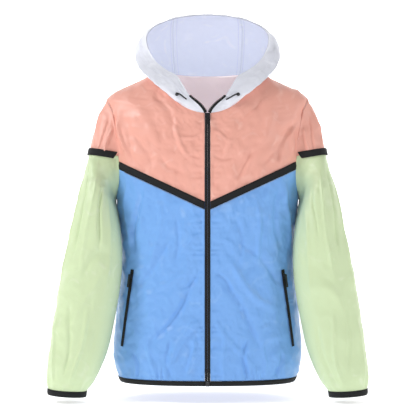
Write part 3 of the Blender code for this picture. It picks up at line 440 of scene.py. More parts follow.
def yoke_grid(is_front):
    """Front or back yoke: rows from the tape line up to the neck and the shoulder."""
    neck_tau = NECK_FRONT_TAU if is_front else NECK_BACK_TAU
    upper = FRONT_UPPER if is_front else BACK_UPPER
    top = yoke_top(neck_tau)
    count = len(top[0])
    end_angle, end_z = armhole(upper[-1] if is_front else 360 - upper[-1])
    end = body_point(end_angle, end_z)
    if is_front:
        x = np.linspace(ZIP_HALF, end[0], count)
        z = CHEVRON_Z + CHEVRON_RISE * x
        z = z + np.linspace(0, 1, count)**2 * (end_z - z[-1])
        base = (theta_at(x, z), z)
    else:
        x = np.linspace(0, end[0], count)
        z = np.full(count, BACK_LINE_Z)
        base = (180 - theta_at(x, z), z)
    side = armhole(upper[::-1] if is_front else 360 - upper[::-1])
    steps = (side[1] - side[1][0]) / (side[1][-1] - side[1][0])
    angle, z = rule_between(base, top, steps)
    weight = (np.arange(count) / (count - 1))**3
    angle += weight * (side[0] - angle[:, -1])[:, None]
    z += weight * (side[1] - z[:, -1])[:, None]
    return angle, z, upper[::-1]


def lower_grid(is_front, rows=12):
    """Front or back below the tape line: rows from the line down to the hem binding."""
    top_angle, top_z, _ = yoke_grid(is_front)
    lower = FRONT_LOWER if is_front else BACK_LOWER
    arm = armhole(lower[1:] if is_front else 360 - lower[1:])
    top = (np.append(top_angle[0], arm[0]), np.append(top_z[0], arm[1]))
    floor = np.full(len(top[0]), HEM_Z + HEM_BAND)
    count = len(top_angle[0])
    top_x = body_point(top_angle[0], top_z[0])[..., 0] * (0.90, 0.93)[not is_front]
    near = theta_at(top_x, floor[:count])
    side = np.linspace(near[-1], 90, len(lower))[1:]
    bottom_angle = np.append(near, side)
    if not is_front:
        bottom_angle = 180 - bottom_angle
    share = np.linspace(0, 1, rows + 1)**0.95
    return rule_between(top, (bottom_angle, floor), share)


def hold_zip_edge(angle, z):
    """Keep the first column the same distance from the middle all the way down."""
    angle = angle.copy()
    angle[:, 0] = theta_at(ZIP_HALF, z[:, 0])
    return angle


def both_halves(points, normals):
    """Join a half grid, from the middle outwards, to its mirror image."""
    flip = np.array((-1, 1, 1))
    return (np.concatenate([(points * flip)[:, :0:-1], points], axis=1),
            np.concatenate([(normals * flip)[:, :0:-1], normals], axis=1))


def tape_surface(is_front):
    """Three rows of points, over, on and under the tape line."""
    angle, z, _ = yoke_grid(is_front)
    slope = math.hypot(1, CHEVRON_RISE) if is_front else 1.0
    half = TAPE_HALF * slope
    line = z[0]
    lift = np.array([half, 0, -half])[:, None]
    x = body_point(angle[0], line)[..., 0]
    shift = np.array([0.0016, 0, 0.0010])[:, None] * (np.arange(len(x)) == len(x) - 1)
    heights = line + lift
    angles = theta_at(x - shift, heights)
    angles = angles if is_front else 180 - angles
    return body_point(angles, heights), body_normal(angles, heights)


def share_at(w, length):
    """How far down column w of the hood (0 to 1) lies length metres from the face opening."""
    steps = np.linspace(0, 1, 101)
    path = hood_point(np.full_like(steps, w), steps)
    run = np.concatenate([[0], np.cumsum(np.linalg.norm(np.diff(path, axis=0), axis=1))])
    return float(np.interp(length, run, steps)), float(run[-1])


def pocket_line(share):
    """Angle and height along a pocket's zip, from its upper end (0) to its lower end (1)."""
    share = np.asarray(share, float)
    bow = POCKET_BOW * np.sin(np.pi * share)
    angle = POCKET_TOP[0] + share * (POCKET_FOOT[0] - POCKET_TOP[0]) + bow
    return angle, POCKET_TOP[1] + share * (POCKET_FOOT[1] - POCKET_TOP[1])


def frame_on(point, normal, up):
    """A frame at point: -Y along the surface normal, Z as near to up as it can be."""
    back = -Vector(normal).normalized()
    across = back.cross(Vector(up)).normalized()
    rise = across.cross(back).normalized()
    turned = Matrix((across, back, rise)).transposed().to_4x4()
    turned.translation = Vector(point)
    return turned


def surface_frame(w, v, lift):
    point = hood_point(np.array(w), np.array(v))
    normal = hood_normal(np.array(w), np.array(v))
    return frame_on(point + normal * lift, normal, (0, 0, 1))


def band_ring(t, offset=0.0):
    """Ring number where column t crosses the band's plane moved up by offset."""
    return crossing(lambda ring: band_gap(sleeve_point(t, ring)) - offset,
                    np.zeros_like(t), np.full_like(t, 6.0))


SEAM_RING = 0.022        # ring number where the sleeve starts, clear of the armhole's edge
TIP_RING = 0.045         # where the cap's pointed ends stop


# A drawcord end: steps from the eyelet along the hood (towards the zip and down) and away
# from its surface, millimetres.
CORD_RIGHT = (
    (0.0, 0.0, 1.3), (0.1, 0.0, 3.2), (0.9, 0.3, 5.2), (3.0, 1.2, 6.7), (6.5, 2.9, 6.9),
    (10.5, 5.0, 6.1), (14.5, 7.2, 5.2), (18.5, 9.3, 4.6), (22.5, 11.4, 4.3), (26.0, 13.2, 4.1),
)
CORD_LEFT = (
    (0.0, 0.0, 1.3), (0.1, 0.0, 3.4), (0.7, 0.2, 5.9), (2.4, 0.8, 8.1), (5.2, 2.2, 9.2),
    (8.6, 4.0, 8.8), (11.8, 6.0, 7.4), (14.6, 8.0, 5.9), (17.8, 10.3, 4.8), (21.2, 12.8, 4.3),
)


def cord_route(rows, mirror):
    """The route's points in metres, on the axes of the eyelet it leaves."""
    frame = surface_frame(EYELET_W, EYELET_V, 0.0)
    route = []
    for row in rows:
        along, down, away = (value / 1000 for value in row)
        point = frame @ Vector((-along, -away, -down))
        if mirror:
            point.x = -point.x
        route.append(point)
    return route


# ---------------------------------------------------------------- creases
# Each crease runs between two places on a panel and is a soft trough (minus) or ridge (plus).
# Body creases are placed by metres across and height; the same ones lie on both sides.
CREASE_WIDTH = 0.42      # how much of its listed width a crease keeps
CREASE_HEIGHT = 1.45     # how far the listed heights are raised on the body
FRONT_CREASES = (
    (0.020, -0.440, 0.130, -0.600, 0.016, -0.0034),
    (0.030, -0.400, 0.150, -0.520, 0.018, 0.0030),
    (0.012, -0.520, 0.100, -0.650, 0.014, 0.0030),
    (0.060, -0.350, 0.165, -0.470, 0.015, -0.0026),
    (0.100, -0.270, 0.120, -0.430, 0.014, 0.0030),
    (0.150, -0.240, 0.158, -0.400, 0.014, -0.0032),
    (0.175, -0.230, 0.172, -0.390, 0.012, 0.0028),
    (0.060, -0.300, 0.075, -0.420, 0.012, -0.0022),
    (0.030, -0.560, 0.040, -0.664, 0.010, 0.0024),
    (0.085, -0.570, 0.080, -0.664, 0.011, -0.0024),
    (0.125, -0.580, 0.118, -0.664, 0.010, 0.0024),
    (0.160, -0.600, 0.150, -0.664, 0.010, -0.0024),
    (0.190, -0.090, 0.150, -0.200, 0.013, -0.0034),
    (0.200, -0.070, 0.175, -0.190, 0.010, 0.0034),
    (0.150, -0.050, 0.110, -0.170, 0.014, 0.0026),
    (0.120, -0.040, 0.060, -0.130, 0.014, -0.0022),
    (0.085, -0.110, 0.030, -0.190, 0.012, 0.0022),
    (0.110, -0.170, 0.050, -0.230, 0.014, -0.0022),
    (0.160, -0.120, 0.120, -0.210, 0.012, -0.0024),
    (0.012, -0.130, 0.060, -0.150, 0.008, 0.0018),
    (0.012, -0.180, 0.055, -0.190, 0.008, -0.0018),
    (0.012, -0.350, 0.060, -0.380, 0.010, 0.0020),
    (0.012, -0.430, 0.060, -0.470, 0.010, -0.0020),
)
BACK_CREASES = (
    (0.030, -0.260, 0.040, -0.470, 0.020, 0.0034),
    (0.085, -0.240, 0.080, -0.520, 0.018, -0.0034),
    (0.130, -0.230, 0.125, -0.430, 0.015, 0.0030),
    (0.165, -0.250, 0.150, -0.560, 0.015, -0.0030),
    (0.020, -0.540, 0.090, -0.640, 0.016, 0.0030),
    (0.110, -0.520, 0.050, -0.630, 0.014, -0.0026),
    (0.190, -0.090, 0.140, -0.180, 0.013, -0.0030),
    (0.150, -0.060, 0.080, -0.150, 0.015, 0.0030),
    (0.060, -0.060, 0.020, -0.160, 0.014, -0.0022),
)
# Sleeve creases are placed by degrees round the sleeve and ring number.
SLEEVE_CREASES = (
    (40.0, 2.6, 52.0, 5.6, 9.0, -0.0034),
    (70.0, 2.4, 76.0, 6.2, 9.0, 0.0034),
    (100.0, 2.6, 98.0, 5.0, 8.0, -0.0034),
    (128.0, 2.6, 120.0, 6.6, 9.0, 0.0032),
    (15.0, 3.0, 24.0, 6.5, 10.0, 0.0030),
    (150.0, 4.6, 70.0, 5.9, 11.0, -0.0036),
    (140.0, 5.6, 60.0, 6.9, 10.0, 0.0034),
    (60.0, 6.4, 78.0, 9.0, 9.0, -0.0034),
    (92.0, 6.6, 100.0, 9.4, 9.0, 0.0034),
    (120.0, 6.8, 124.0, 9.6, 9.0, -0.0032),
    (30.0, 6.8, 44.0, 9.5, 9.0, 0.0032),
    (200.0, 3.5, 215.0, 7.0, 10.0, -0.0034),
    (240.0, 3.0, 250.0, 7.5, 10.0, 0.0034),
    (280.0, 3.2, 275.0, 8.0, 10.0, -0.0034),
    (320.0, 3.4, 325.0, 7.6, 10.0, 0.0034),
    (48.0, 0.25, 66.0, 1.9, 8.0, -0.0034),
    (66.0, 0.25, 84.0, 1.7, 7.0, 0.0034),
    (20.0, 0.40, 34.0, 2.0, 9.0, 0.0026),
    (320.0, 0.30, 300.0, 1.9, 9.0, -0.0030),
)


def crease_height(rows, a, b, shift, stretch=(1.0, 1.0)):
    """Sum of the creases at places (a, b): each is a bell across its line, fading at its ends.

    The line is bent sideways by a slow wave so that no crease is straight; shift varies them.
    """
    total = np.zeros_like(a)
    for number, (a0, b0, a1, b1, width, height) in enumerate(rows):
        ea, eb = (a1 - a0) * stretch[0], (b1 - b0) * stretch[1]
        length = math.hypot(ea, eb)
        da, db = (a - a0) * stretch[0], (b - b0) * stretch[1]
        along = (da * ea + db * eb) / length**2
        away = (da * eb - db * ea) / length
        away = away + width * 0.5 * np.sin(5.0 * along + number * 1.7 + shift)
        ends = np.clip(along / 0.25, 0, 1) * np.clip((1 - along) / 0.25, 0, 1)
        ends = ends * ends * (3 - 2 * ends)
        size = 1 + 0.3 * math.sin(number * 2.3 + shift)
        total += height * size * ends * np.exp(-(away / (CREASE_WIDTH * width)) ** 2)
    return total


def crinkle(points, size, height, shift):
    """Crumpled cloth: sines crossing at many angles, folded sharp by taking their size."""
    x, y, z = (points[..., k] for k in range(3))
    total = np.zeros_like(x)
    for number in range(7):
        turn = number * 2.399 + shift
        reach = 2 * math.pi / (size * (0.7 + 0.17 * number))
        wave = (x * math.cos(turn) + z * math.sin(turn) + 0.6 * y * math.sin(turn * 2.1)) * reach
        bend = np.sin((z * math.cos(turn) - x * math.sin(turn)) * reach * 0.41 + number)
        total += 1 - 2 * np.abs(np.sin(wave / 2 + 1.3 * bend))
    return height * total / 7


def puckers(run, away, spacing, reach, height):
    """Small gathers along a seam: waves along it that die out away from it."""
    wave = np.sin(2 * math.pi * run / spacing + 1.9 * np.sin(run / spacing * 1.7))
    strength = 0.55 + 0.45 * np.sin(run / spacing * 0.83 + 2.0 * np.sin(run / spacing * 0.29))
    return height * strength * wave * np.exp(-(away / reach) ** 2)


# ---------------------------------------------------------------- making meshes
def refine(grid, across, down):
    """More rows and columns of a parameter grid, straight between its own."""
    rows, columns = grid.shape
    new_columns = np.linspace(0, columns - 1, (columns - 1) * across + 1)
    new_rows = np.linspace(0, rows - 1, (rows - 1) * down + 1)
    wide = np.stack([np.interp(new_columns, np.arange(columns), row) for row in grid])
    return np.stack([np.interp(new_rows, np.arange(rows), col) for col in wide.T]).T


def grid_mesh(name, points, closed=False):
    rows, columns = points.shape[:2]
    index = np.arange(rows * columns).reshape(rows, columns)
    if closed:
        index = np.concatenate([index, index[:, :1]], axis=1)
    quads = np.stack([index[:-1, :-1], index[:-1, 1:], index[1:, 1:], index[1:, :-1]], axis=-1)
    mesh = bpy.data.meshes.new(name)
    mesh.from_pydata(points.reshape(-1, 3).tolist(), [], quads.reshape(-1, 4).tolist())
    mesh.shade_smooth()
    return mesh


def cloth(name, points, normals, finish, mirror=False, closed=False, thickness=0.0006, lift=0.0,
          inside=None):
    """A shell of the given thickness, standing for the CAD node of the same name.

    The columns are turned round where that makes the faces look outwards, so that the shell's
    own back is the wrong side of the cloth, which may have a finish of its own.
    """
    points = points + normals * lift
    flip = np.array((-1, 1, 1)) if mirror else np.array((1, 1, 1))
    points = points * flip
    row, column = points.shape[0] // 2, points.shape[1] // 2
    across = points[row, column] - points[row, column - 1]
    down = points[row, column] - points[row - 1, column]
    if np.dot(np.cross(across, down), normals[row, column] * flip) < 0:
        points = points[:, ::-1]
    piece = bpy.data.objects.new(f"{name}_cloth", grid_mesh(name, points, closed))
    bpy.context.collection.objects.link(piece)
    shell = piece.modifiers.new("thickness", "SOLIDIFY")
    shell.thickness = thickness
    shell.offset = 0
    shell.material_offset = 1
    piece.data.materials.append(finish)
    piece.data.materials.append(inside or finish)
    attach(piece, "jacket")
    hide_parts(name)
    return piece


def surface_size(points, closed=False):
    """Width across the middle row and length down the middle column, metres."""
    row = points[points.shape[0] // 2]
    if closed:
        row = np.concatenate([row, row[:1]])
    col = points[:, points.shape[1] // 2]
    return (float(np.linalg.norm(np.diff(row, axis=0), axis=1).sum()),
            float(np.linalg.norm(np.diff(col, axis=0), axis=1).sum()))


def surface_area(points, closed=False):
    if closed:
        points = np.concatenate([points, points[:, :1]], axis=1)
    a = points[:-1, 1:] - points[:-1, :-1]
    b = points[1:, :-1] - points[:-1, :-1]
    c = points[1:, :-1] - points[1:, 1:]
    d = points[:-1, 1:] - points[1:, 1:]
    first = np.linalg.norm(np.cross(a, b), axis=-1).sum()
    return float(first + np.linalg.norm(np.cross(c, d), axis=-1).sum()) / 2


SHEET_LEAST = 0.0102      # smallest side of a cut piece


def declare(piece, points, closed=False):
    """Work out the cloth's cut, its own width and length taken a little larger if it is shaped; the
    result is not kept.
    """
    area = surface_area(points, closed)
    width, length = surface_size(points, closed)
    width, length = max(width, SHEET_LEAST), max(length, SHEET_LEAST)
    while width * length < area * 1.002:
        width, length = width * 1.01, length * 1.01


# ---------------------------------------------------------------- materials
def linear(hex_colour):
    """sRGB hex to linear red, green, blue and 1."""
    parts = [int(hex_colour[k:k + 2], 16) / 255 for k in (1, 3, 5)]
    return (*[c / 12.92 if c <= 0.04045 else ((c + 0.055) / 1.055) ** 2.4 for c in parts], 1.0)


def node(tree, kind, settings=None, links=None, **inputs):
    """Add a node with its settings, its sockets' values and its links."""
    made = tree.nodes.new(kind)
    for key, value in (settings or {}).items():
        setattr(made, key, value)
    for key, value in inputs.items():
        made.inputs[key.replace("_", " ")].default_value = value
    for key, source in (links or {}).items():
        tree.links.new(source, made.inputs[key])
    return made


def start(name, **sockets):
    made = bpy.data.materials.new(name)
    made.use_nodes = True
    tree = made.node_tree
    shader = tree.nodes["Principled BSDF"]
    for key, value in sockets.items():
        shader.inputs[key.replace("_", " ")].default_value = value
    return made, tree, shader


def nylon(name, pale, painted_shade, roughness=0.38, bump=0.6, sheen=0.12, through=0.0):
    """Thin calendered nylon taffeta: a soft gloss, with painted shade, a darker colour, in the hollows of
    its fine crumples.

    through is a painted glow in the pale colour, standing in for the light that comes in through the thin
    cloth and shows on its wrong side.
    """
    made, tree, shader = start(name, Sheen_Weight=sheen, Sheen_Roughness=0.4)
    place = node(tree, "ShaderNodeTexCoord").outputs["Object"]
    crumple = node(tree, "ShaderNodeTexNoise", settings={"noise_type": "RIDGED_MULTIFRACTAL"},
                   links={"Vector": place}, Scale=24.0, Detail=4.0, Roughness=0.5,
                   Distortion=1.6)
    # Painted shade: the ramp runs to the darker colour where the crumple noise, which also drives the
    # bump, sinks into hollows.
    tone = node(tree, "ShaderNodeValToRGB", links={"Fac": crumple.outputs["Fac"]})
    tone.color_ramp.elements[0].position = 0.15
    tone.color_ramp.elements[0].color = linear(painted_shade)
    tone.color_ramp.elements[1].position = 0.75
    tone.color_ramp.elements[1].color = linear(pale)
    tree.links.new(tone.outputs["Color"], shader.inputs["Base Color"])
    gloss = node(tree, "ShaderNodeMapRange", links={"Value": crumple.outputs["Fac"]},
                 To_Min=roughness + 0.08, To_Max=roughness - 0.06)
    tree.links.new(gloss.outputs["Result"], shader.inputs["Roughness"])
    rough = node(tree, "ShaderNodeBump", links={"Height": crumple.outputs["Fac"]},
                 Strength=bump, Distance=0.0011)
    tree.links.new(rough.outputs["Normal"], shader.inputs["Normal"])
    # Painted glow: emission in the pale colour lights the wrong side as if light came through the cloth.
    shader.inputs["Emission Color"].default_value = linear(pale)
    shader.inputs["Emission Strength"].default_value = through
    return made


def webbing(name, colour, per_metre=900.0):
    """Woven polyester tape: matt black with a fine rib across."""
    made, tree, shader = start(name, Roughness=0.85, Sheen_Weight=0.04)
    place = node(tree, "ShaderNodeTexCoord").outputs["Object"]
    grain = node(tree, "ShaderNodeTexNoise", links={"Vector": place}, Scale=per_metre, Detail=2.0)
    tone = node(tree, "ShaderNodeValToRGB", links={"Fac": grain.outputs["Fac"]})
    tone.color_ramp.elements[0].color = linear(colour)
    tone.color_ramp.elements[1].color = linear("#0B0E12")
    tree.links.new(tone.outputs["Color"], shader.inputs["Base Color"])
    rough = node(tree, "ShaderNodeBump", links={"Height": grain.outputs["Fac"]},
                 Strength=0.5, Distance=0.0004)
    tree.links.new(rough.outputs["Normal"], shader.inputs["Normal"])
    return made


def black_enamel(name):
    """Zinc casting under black enamel: smooth, with a hard small gloss."""
    made, tree, shader = start(name, Metallic=0.0, Roughness=0.3)
    place = node(tree, "ShaderNodeTexCoord").outputs["Object"]
    grain = node(tree, "ShaderNodeTexNoise", links={"Vector": place}, Scale=400.0)
    tone = node(tree, "ShaderNodeValToRGB", links={"Fac": grain.outputs["Fac"]})
    tone.color_ramp.elements[0].color = linear("#141416")
    tone.color_ramp.elements[1].color = linear("#26262A")
    tree.links.new(tone.outputs["Color"], shader.inputs["Base Color"])
    return made


# The second colour of each nylon is painted shade for the hollows of its crumples.
CORAL = nylon("coral nylon taffeta", "#F1BDAF", "#E8A797")
# The coral wrong side glows with painted light that stands in for light coming through the thin cloth.
CORAL_BACK = nylon("coral nylon taffeta, pale wrong side with painted glow", "#F0E6E9", "#E6D6DA", 0.6, 0.4, through=0.42)
BLUE = nylon("blue nylon taffeta", "#85B3EC", "#72A6E6")
LIME = nylon("lime nylon taffeta", "#D6E2C2", "#CADBB0")
WHITE = nylon("white nylon taffeta", "#EDEFF6", "#DFE1EB", 0.45, 0.5)
# The white wrong side glows with painted light too, for light coming through the thin hood.
WHITE_BACK = nylon("white nylon taffeta, wrong side", "#F4F6FF", "#E6EAF6", 0.6, 0.5, through=0.14)
BLACK = webbing("black polyester webbing", "#020305")
THREAD = webbing("pale polyester thread", "#C9BFC6", 500.0)
ENAMEL = black_enamel("black enamelled zinc")


# ---------------------------------------------------------------- the jacket's cloth
def body_relief(angle, z, points, shift, is_front, edges=0.010):
    """Height of the cloth over its smooth form, fading to nothing at the panel's edges."""
    across = np.abs(points[..., 0])
    rows = FRONT_CREASES if is_front else BACK_CREASES
    relief = CREASE_HEIGHT * crease_height(rows, across, z, shift)
    relief += crinkle(points, 0.046, 0.0030, shift) + crinkle(points, 0.019, 0.0012, shift + 1)
    if is_front:
        relief += puckers(z, across - ZIP_HALF, 0.015, 0.022, 0.0017)
    side = np.exp(-((angle - 90) / 28) ** 2 - ((z + 0.30) / 0.08) ** 2)
    relief += 0.0035 * side
    relief += puckers(across, z - (HEM_Z + HEM_BAND), 0.014, 0.022, 0.0018)
    return relief


def edge_fade(shape, steps=3, closed=False):
    """1 inside a grid, easing to 0 at its edges over a few rows."""
    row = np.clip(np.minimum(np.arange(shape[0]), np.arange(shape[0])[::-1]) / steps, 0, 1)
    col = np.clip(np.minimum(np.arange(shape[1]), np.arange(shape[1])[::-1]) / steps, 0, 1)
    if closed:
        col = np.ones(shape[1])
    return row[:, None] * col[None, :]


def body_cloth(name, angle, z, finish, is_front, shift, mirror=False, whole=False, inside=None):
    fineness = (11, 12) if is_front else (7, 10)
    angle, z = refine(angle, *fineness), refine(z, *fineness)
    if is_front:
        angle[:, 0] = theta_at(ZIP_HALF, z[:, 0])
    points, normals = body_point(angle, z), body_normal(angle, z)
    if whole:
        points, normals = both_halves(points, normals)
        angle = np.concatenate([angle[:, :0:-1], angle], axis=1)
        z = np.concatenate([z[:, :0:-1], z], axis=1)
    relief = body_relief(angle, z, points, shift, is_front)
    relief *= edge_fade(relief.shape)
    points = points + normals * relief[..., None]
    piece = cloth(name, points, normals, finish, mirror, inside=inside)
    declare(piece, points)


def make_body():
    for side, mirror, shift in (("right", False, 0.0), ("left", True, 2.2)):
        angle, z, _ = yoke_grid(True)
        body_cloth(f"front_yoke_{side}", angle, z, CORAL, True, shift, mirror)
        angle, z = lower_grid(True)
        body_cloth(f"front_{side}", angle, z, BLUE, True, shift, mirror)
        trim(f"chevron_tape_{side}", *fine(*tape_surface(True)), mirror, TAPE_LIFT)
        bottom = np.tile(lower_grid(True)[0][-1], (2, 1))
        hem(f"hem_binding_{side}", bottom, mirror, False)
    angle, z, _ = yoke_grid(False)
    body_cloth("back_yoke", angle, z, CORAL, False, 1.0, whole=True, inside=CORAL_BACK)
    angle, z = lower_grid(False)
    body_cloth("back", angle, z, BLUE, False, 1.0, whole=True)
    trim("back_tape", *fine(*both_halves(*tape_surface(False))), False, TAPE_LIFT)
    hem("hem_binding_back", np.tile(lower_grid(False)[0][-1], (2, 1)), False, True)


def fine(points, normals, across=6, down=2):
    """The same surface with more rows and columns."""
    layers = [refine(points[..., k], across, down) for k in range(3)]
    turned = [refine(normals[..., k], across, down) for k in range(3)]
    return np.stack(layers, axis=-1), unit(np.stack(turned, axis=-1))


def trim(name, points, normals, mirror, lift, finish=None, closed=False, thickness=0.0010):
    piece = cloth(name, points, normals, finish or BLACK, mirror, closed, thickness, lift)
    declare(piece, points + normals * lift, closed)


def hem(name, angle, mirror, whole):
    angle = refine(angle, 6, 4)
    share = np.linspace(0, 1, len(angle))[:, None]
    z = HEM_Z + HEM_BAND * (1 - share) + 0 * angle
    points, normals = body_point(angle, z), body_normal(angle, z)
    if whole:
        points, normals = both_halves(points, normals)
    bulge = 0.0010 * np.sin(np.pi * share)[..., None]
    trim(name, points + normals * bulge, normals, mirror, 0.0004, thickness=0.0018)


def sleeve_relief(t, ring, points, shift):
    relief = crease_height(SLEEVE_CREASES, t % 360, ring, shift, stretch=(1.0, 22.0))
    relief += crinkle(points, 0.056, 0.0023, shift) + crinkle(points, 0.021, 0.0008, shift + 1)
    run = t / 360 * 0.27
    relief += puckers(run, (CUFF_RING - ring) * 0.030, 0.015, 0.030, 0.0016)
    return relief


def make_sleeve_cloth(side, mirror, shift):
    cap_t = np.concatenate([-BACK_UPPER[-2:0:-1], FRONT_UPPER[:-1]])
    cap_t = refine(np.stack([cap_t, cap_t]), 6, 1)[0]
    line = np.maximum(band_ring(cap_t), TIP_RING)
    ring = SEAM_RING + np.linspace(0, 1, 33)[:, None] * (line - SEAM_RING)
    t = np.tile(cap_t, (len(ring), 1))
    points, normals = sleeve_point(t, ring), sleeve_normal(t, ring)
    relief = sleeve_relief(t, ring, points, shift) * edge_fade(ring.shape)
    points = points + normals * relief[..., None]
    declare(cloth(f"sleeve_cap_{side}", points, normals, CORAL, mirror), points)

    rest = np.concatenate([cap_t[-1:], FRONT_UPPER[-1:], FRONT_LOWER[1:],
                           360 - BACK_LOWER[-2::-1], 360 + cap_t[:1]])
    rest = refine(np.stack([rest, rest]), 6, 1)[0][1:-1]
    around = np.concatenate([cap_t, rest])
    first = np.full(len(around), SEAM_RING)
    first[:len(cap_t)] = line
    ring = first + np.linspace(0, 1, 150)[:, None] * (CUFF_RING - first)
    t = np.tile(around, (len(ring), 1))
    points, normals = sleeve_point(t, ring), sleeve_normal(t, ring)
    fade = edge_fade(ring.shape, 5, closed=True)
    inner = np.clip(np.abs((t % 360) - 180) / 50 - 0.4, 0.15, 1)
    relief = sleeve_relief(t, ring, points, shift) * fade * inner
    points = points + normals * relief[..., None]
    declare(cloth(f"sleeve_{side}", points, normals, LIME, mirror, closed=True), points, True)

    over = band_ring(cap_t, TAPE_HALF)
    ring = np.linspace(over, band_ring(cap_t, -TAPE_HALF), 5)[:, over > TIP_RING]
    t = np.tile(cap_t[over > TIP_RING], (len(ring), 1))
    trim(f"sleeve_tape_{side}", sleeve_point(t, ring), sleeve_normal(t, ring), mirror,
         2 * TAPE_LIFT)

    share = np.linspace(0, 1, 7)[:, None]
    ring = CUFF_RING + share * CUFF_BAND / 0.0160 + 0 * around
    t = np.tile(around, (len(ring), 1))
    normals = sleeve_normal(t, ring)
    points = sleeve_point(t, ring) + normals * (0.0010 * np.sin(np.pi * share))[..., None]
    trim(f"cuff_binding_{side}", points, normals, mirror, 0.0004, closed=True,
         thickness=0.0018)


def hood_grid(columns, first, last, rows):
    w = np.tile(columns, (rows, 1))
    low = np.array([first(c) for c in columns])
    high = np.array([last(c) for c in columns])
    v = low + np.linspace(0, 1, rows)[:, None] * (high - low)
    return w, v


def make_hood_cloth():
    seam = HOOD_ROWS[1][0]
    for name, low, high, mirror, shift in (
            ("hood_centre", -seam, seam, False, 0.3), ("hood_right", seam, 1.0, False, 1.1),
            ("hood_left", seam, 1.0, True, 3.1)):
        columns = np.linspace(low, high, 97 if name != "hood_centre" else 41)
        w, v = hood_grid(columns, lambda c: 0.0, lambda c: 1.0, 121)
        points, normals = hood_point(w, v), hood_normal(w, v)
        relief = crinkle(points, 0.044, 0.0026, shift) + crinkle(points, 0.018, 0.0011, shift)
        relief *= edge_fade(w.shape, 4)
        points = points + normals * relief[..., None]
        declare(cloth(name, points, normals, WHITE, mirror, inside=WHITE_BACK), points)
    columns = np.linspace(-0.96, 0.96, 161)
    w, v = hood_grid(columns, lambda c: 0.0, lambda c: share_at(c, CHANNEL)[0], 9)
    trim("hood_channel", hood_point(w, v), hood_normal(w, v), False, -TAPE_LIFT - 0.0006,
         WHITE, thickness=0.0008)
    columns = np.linspace(-0.34, 0.34, 61)
    w, v = hood_grid(columns, lambda c: share_at(c, share_at(c, 0)[1] - NECK_TAPE)[0],
                     lambda c: share_at(c, share_at(c, 0)[1] - NECK_TAPE_FOOT)[0], 7)
    trim("neck_tape", hood_point(w, v), hood_normal(w, v), False, -TAPE_LIFT - 0.0006, WHITE)


# ---------------------------------------------------------------- stitches and zip teeth
def blocks(name, places, along, out, size, finish):
    """One mesh of small blocks: length along, width across and height out of the surface."""
    across = np.cross(along, out)
    corners = [(-1, -1, -1), (1, -1, -1), (1, 1, -1), (-1, 1, -1),
               (-1, -1, 1), (1, -1, 1), (1, 1, 1), (-1, 1, 1)]
    sides = [(0, 3, 2, 1), (4, 5, 6, 7), (0, 1, 5, 4), (1, 2, 6, 5), (2, 3, 7, 6), (3, 0, 4, 7)]
    axes = np.stack([along * size[0] / 2, across * size[1] / 2, out * size[2] / 2], axis=1)
    points = places[:, None] + np.einsum("ck,nkj->ncj", np.array(corners, float), axes)
    faces = np.arange(len(places))[:, None, None] * 8 + np.array(sides)[None]
    mesh = bpy.data.meshes.new(name)
    mesh.from_pydata(points.reshape(-1, 3).tolist(), [], faces.reshape(-1, 4).tolist())
    piece = bpy.data.objects.new(name, mesh)
    bpy.context.collection.objects.link(piece)
    mesh.materials.append(finish)
    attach(piece, "jacket")


def evenly(points, normals, pitch):
    """Places every pitch metres along a line on the cloth, with its direction and its normal."""
    run = np.concatenate([[0], np.cumsum(np.linalg.norm(np.diff(points, axis=0), axis=1))])
    at = np.arange(pitch, run[-1] - pitch / 2, pitch)
    places = np.stack([np.interp(at, run, points[:, k]) for k in range(3)], axis=1)
    out = unit(np.stack([np.interp(at, run, normals[:, k]) for k in range(3)], axis=1))
    along = unit(np.gradient(places, axis=0))
    return places, along, unit(out - along * (along * out).sum(axis=1, keepdims=True))


def stitch(name, points, normals, mirror, lift, finish, pitch=0.0032):
    flip = np.array((-1, 1, 1)) if mirror else np.array((1, 1, 1))
    places, along, out = evenly((points + normals * lift) * flip, normals * flip, pitch)
    blocks(name, places, along, out, (0.0023, 0.0006, 0.0005), finish)


def make_stitches():
    for side, mirror in (("right", False), ("left", True)):
        points, normals = fine(*tape_surface(True))
        for row, edge in ((0, "top"), (-1, "foot")):
            inner = 0.88 * points[row] + 0.12 * points[len(points) // 2]
            stitch(f"chevron_stitch_{edge}_{side}", inner, normals[row], mirror,
                   TAPE_LIFT + 0.0007, BLACK)
        stitch(f"chevron_welt_{side}", points[-1] + (0, 0, -0.0012), normals[-1], mirror,
               TAPE_LIFT * 0.6, THREAD, 0.0026)
    w = np.linspace(-0.94, 0.94, 121)
    v = np.array([share_at(c, CHANNEL)[0] for c in w])
    points, normals = hood_point(w, v), hood_normal(w, v)
    stitch("hood_channel_stitch_outside", points, normals, False, 0.0009, WHITE)
    for side in (1, -1):
        w = np.full(61, side * HOOD_ROWS[1][0])
        v = np.linspace(0.04, 0.97, 61)
        for away in (-0.012, 0.012):
            points, normals = hood_point(w + away, v), hood_normal(w + away, v)
            stitch(f"hood_seam_stitch_{side}_{away}", points, normals, False, -0.0012, WHITE)


TOOTH = (0.0009, 0.0030, 0.0012)     # height along the zip, width across it, thickness
TOOTH_PITCH = 0.0017


def make_teeth():
    """The front zip's closed teeth below the slider, left and right in turn."""
    z = np.arange(SLIDER_Z - 0.012, HEM_Z + 0.014, -TOOTH_PITCH)
    x = np.where(np.arange(len(z)) % 2 == 0, 0.0009, -0.0009)
    angle = theta_at(np.abs(x), z) * np.sign(x)
    points, normals = body_point(angle, z), body_normal(angle, z)
    down = np.tile((0.0, 0.0, -1.0), (len(z), 1))
    blocks("zip_teeth", points + normals * (ZIP_WALL / 2 + 0.0003), down, normals, TOOTH, TEETH)


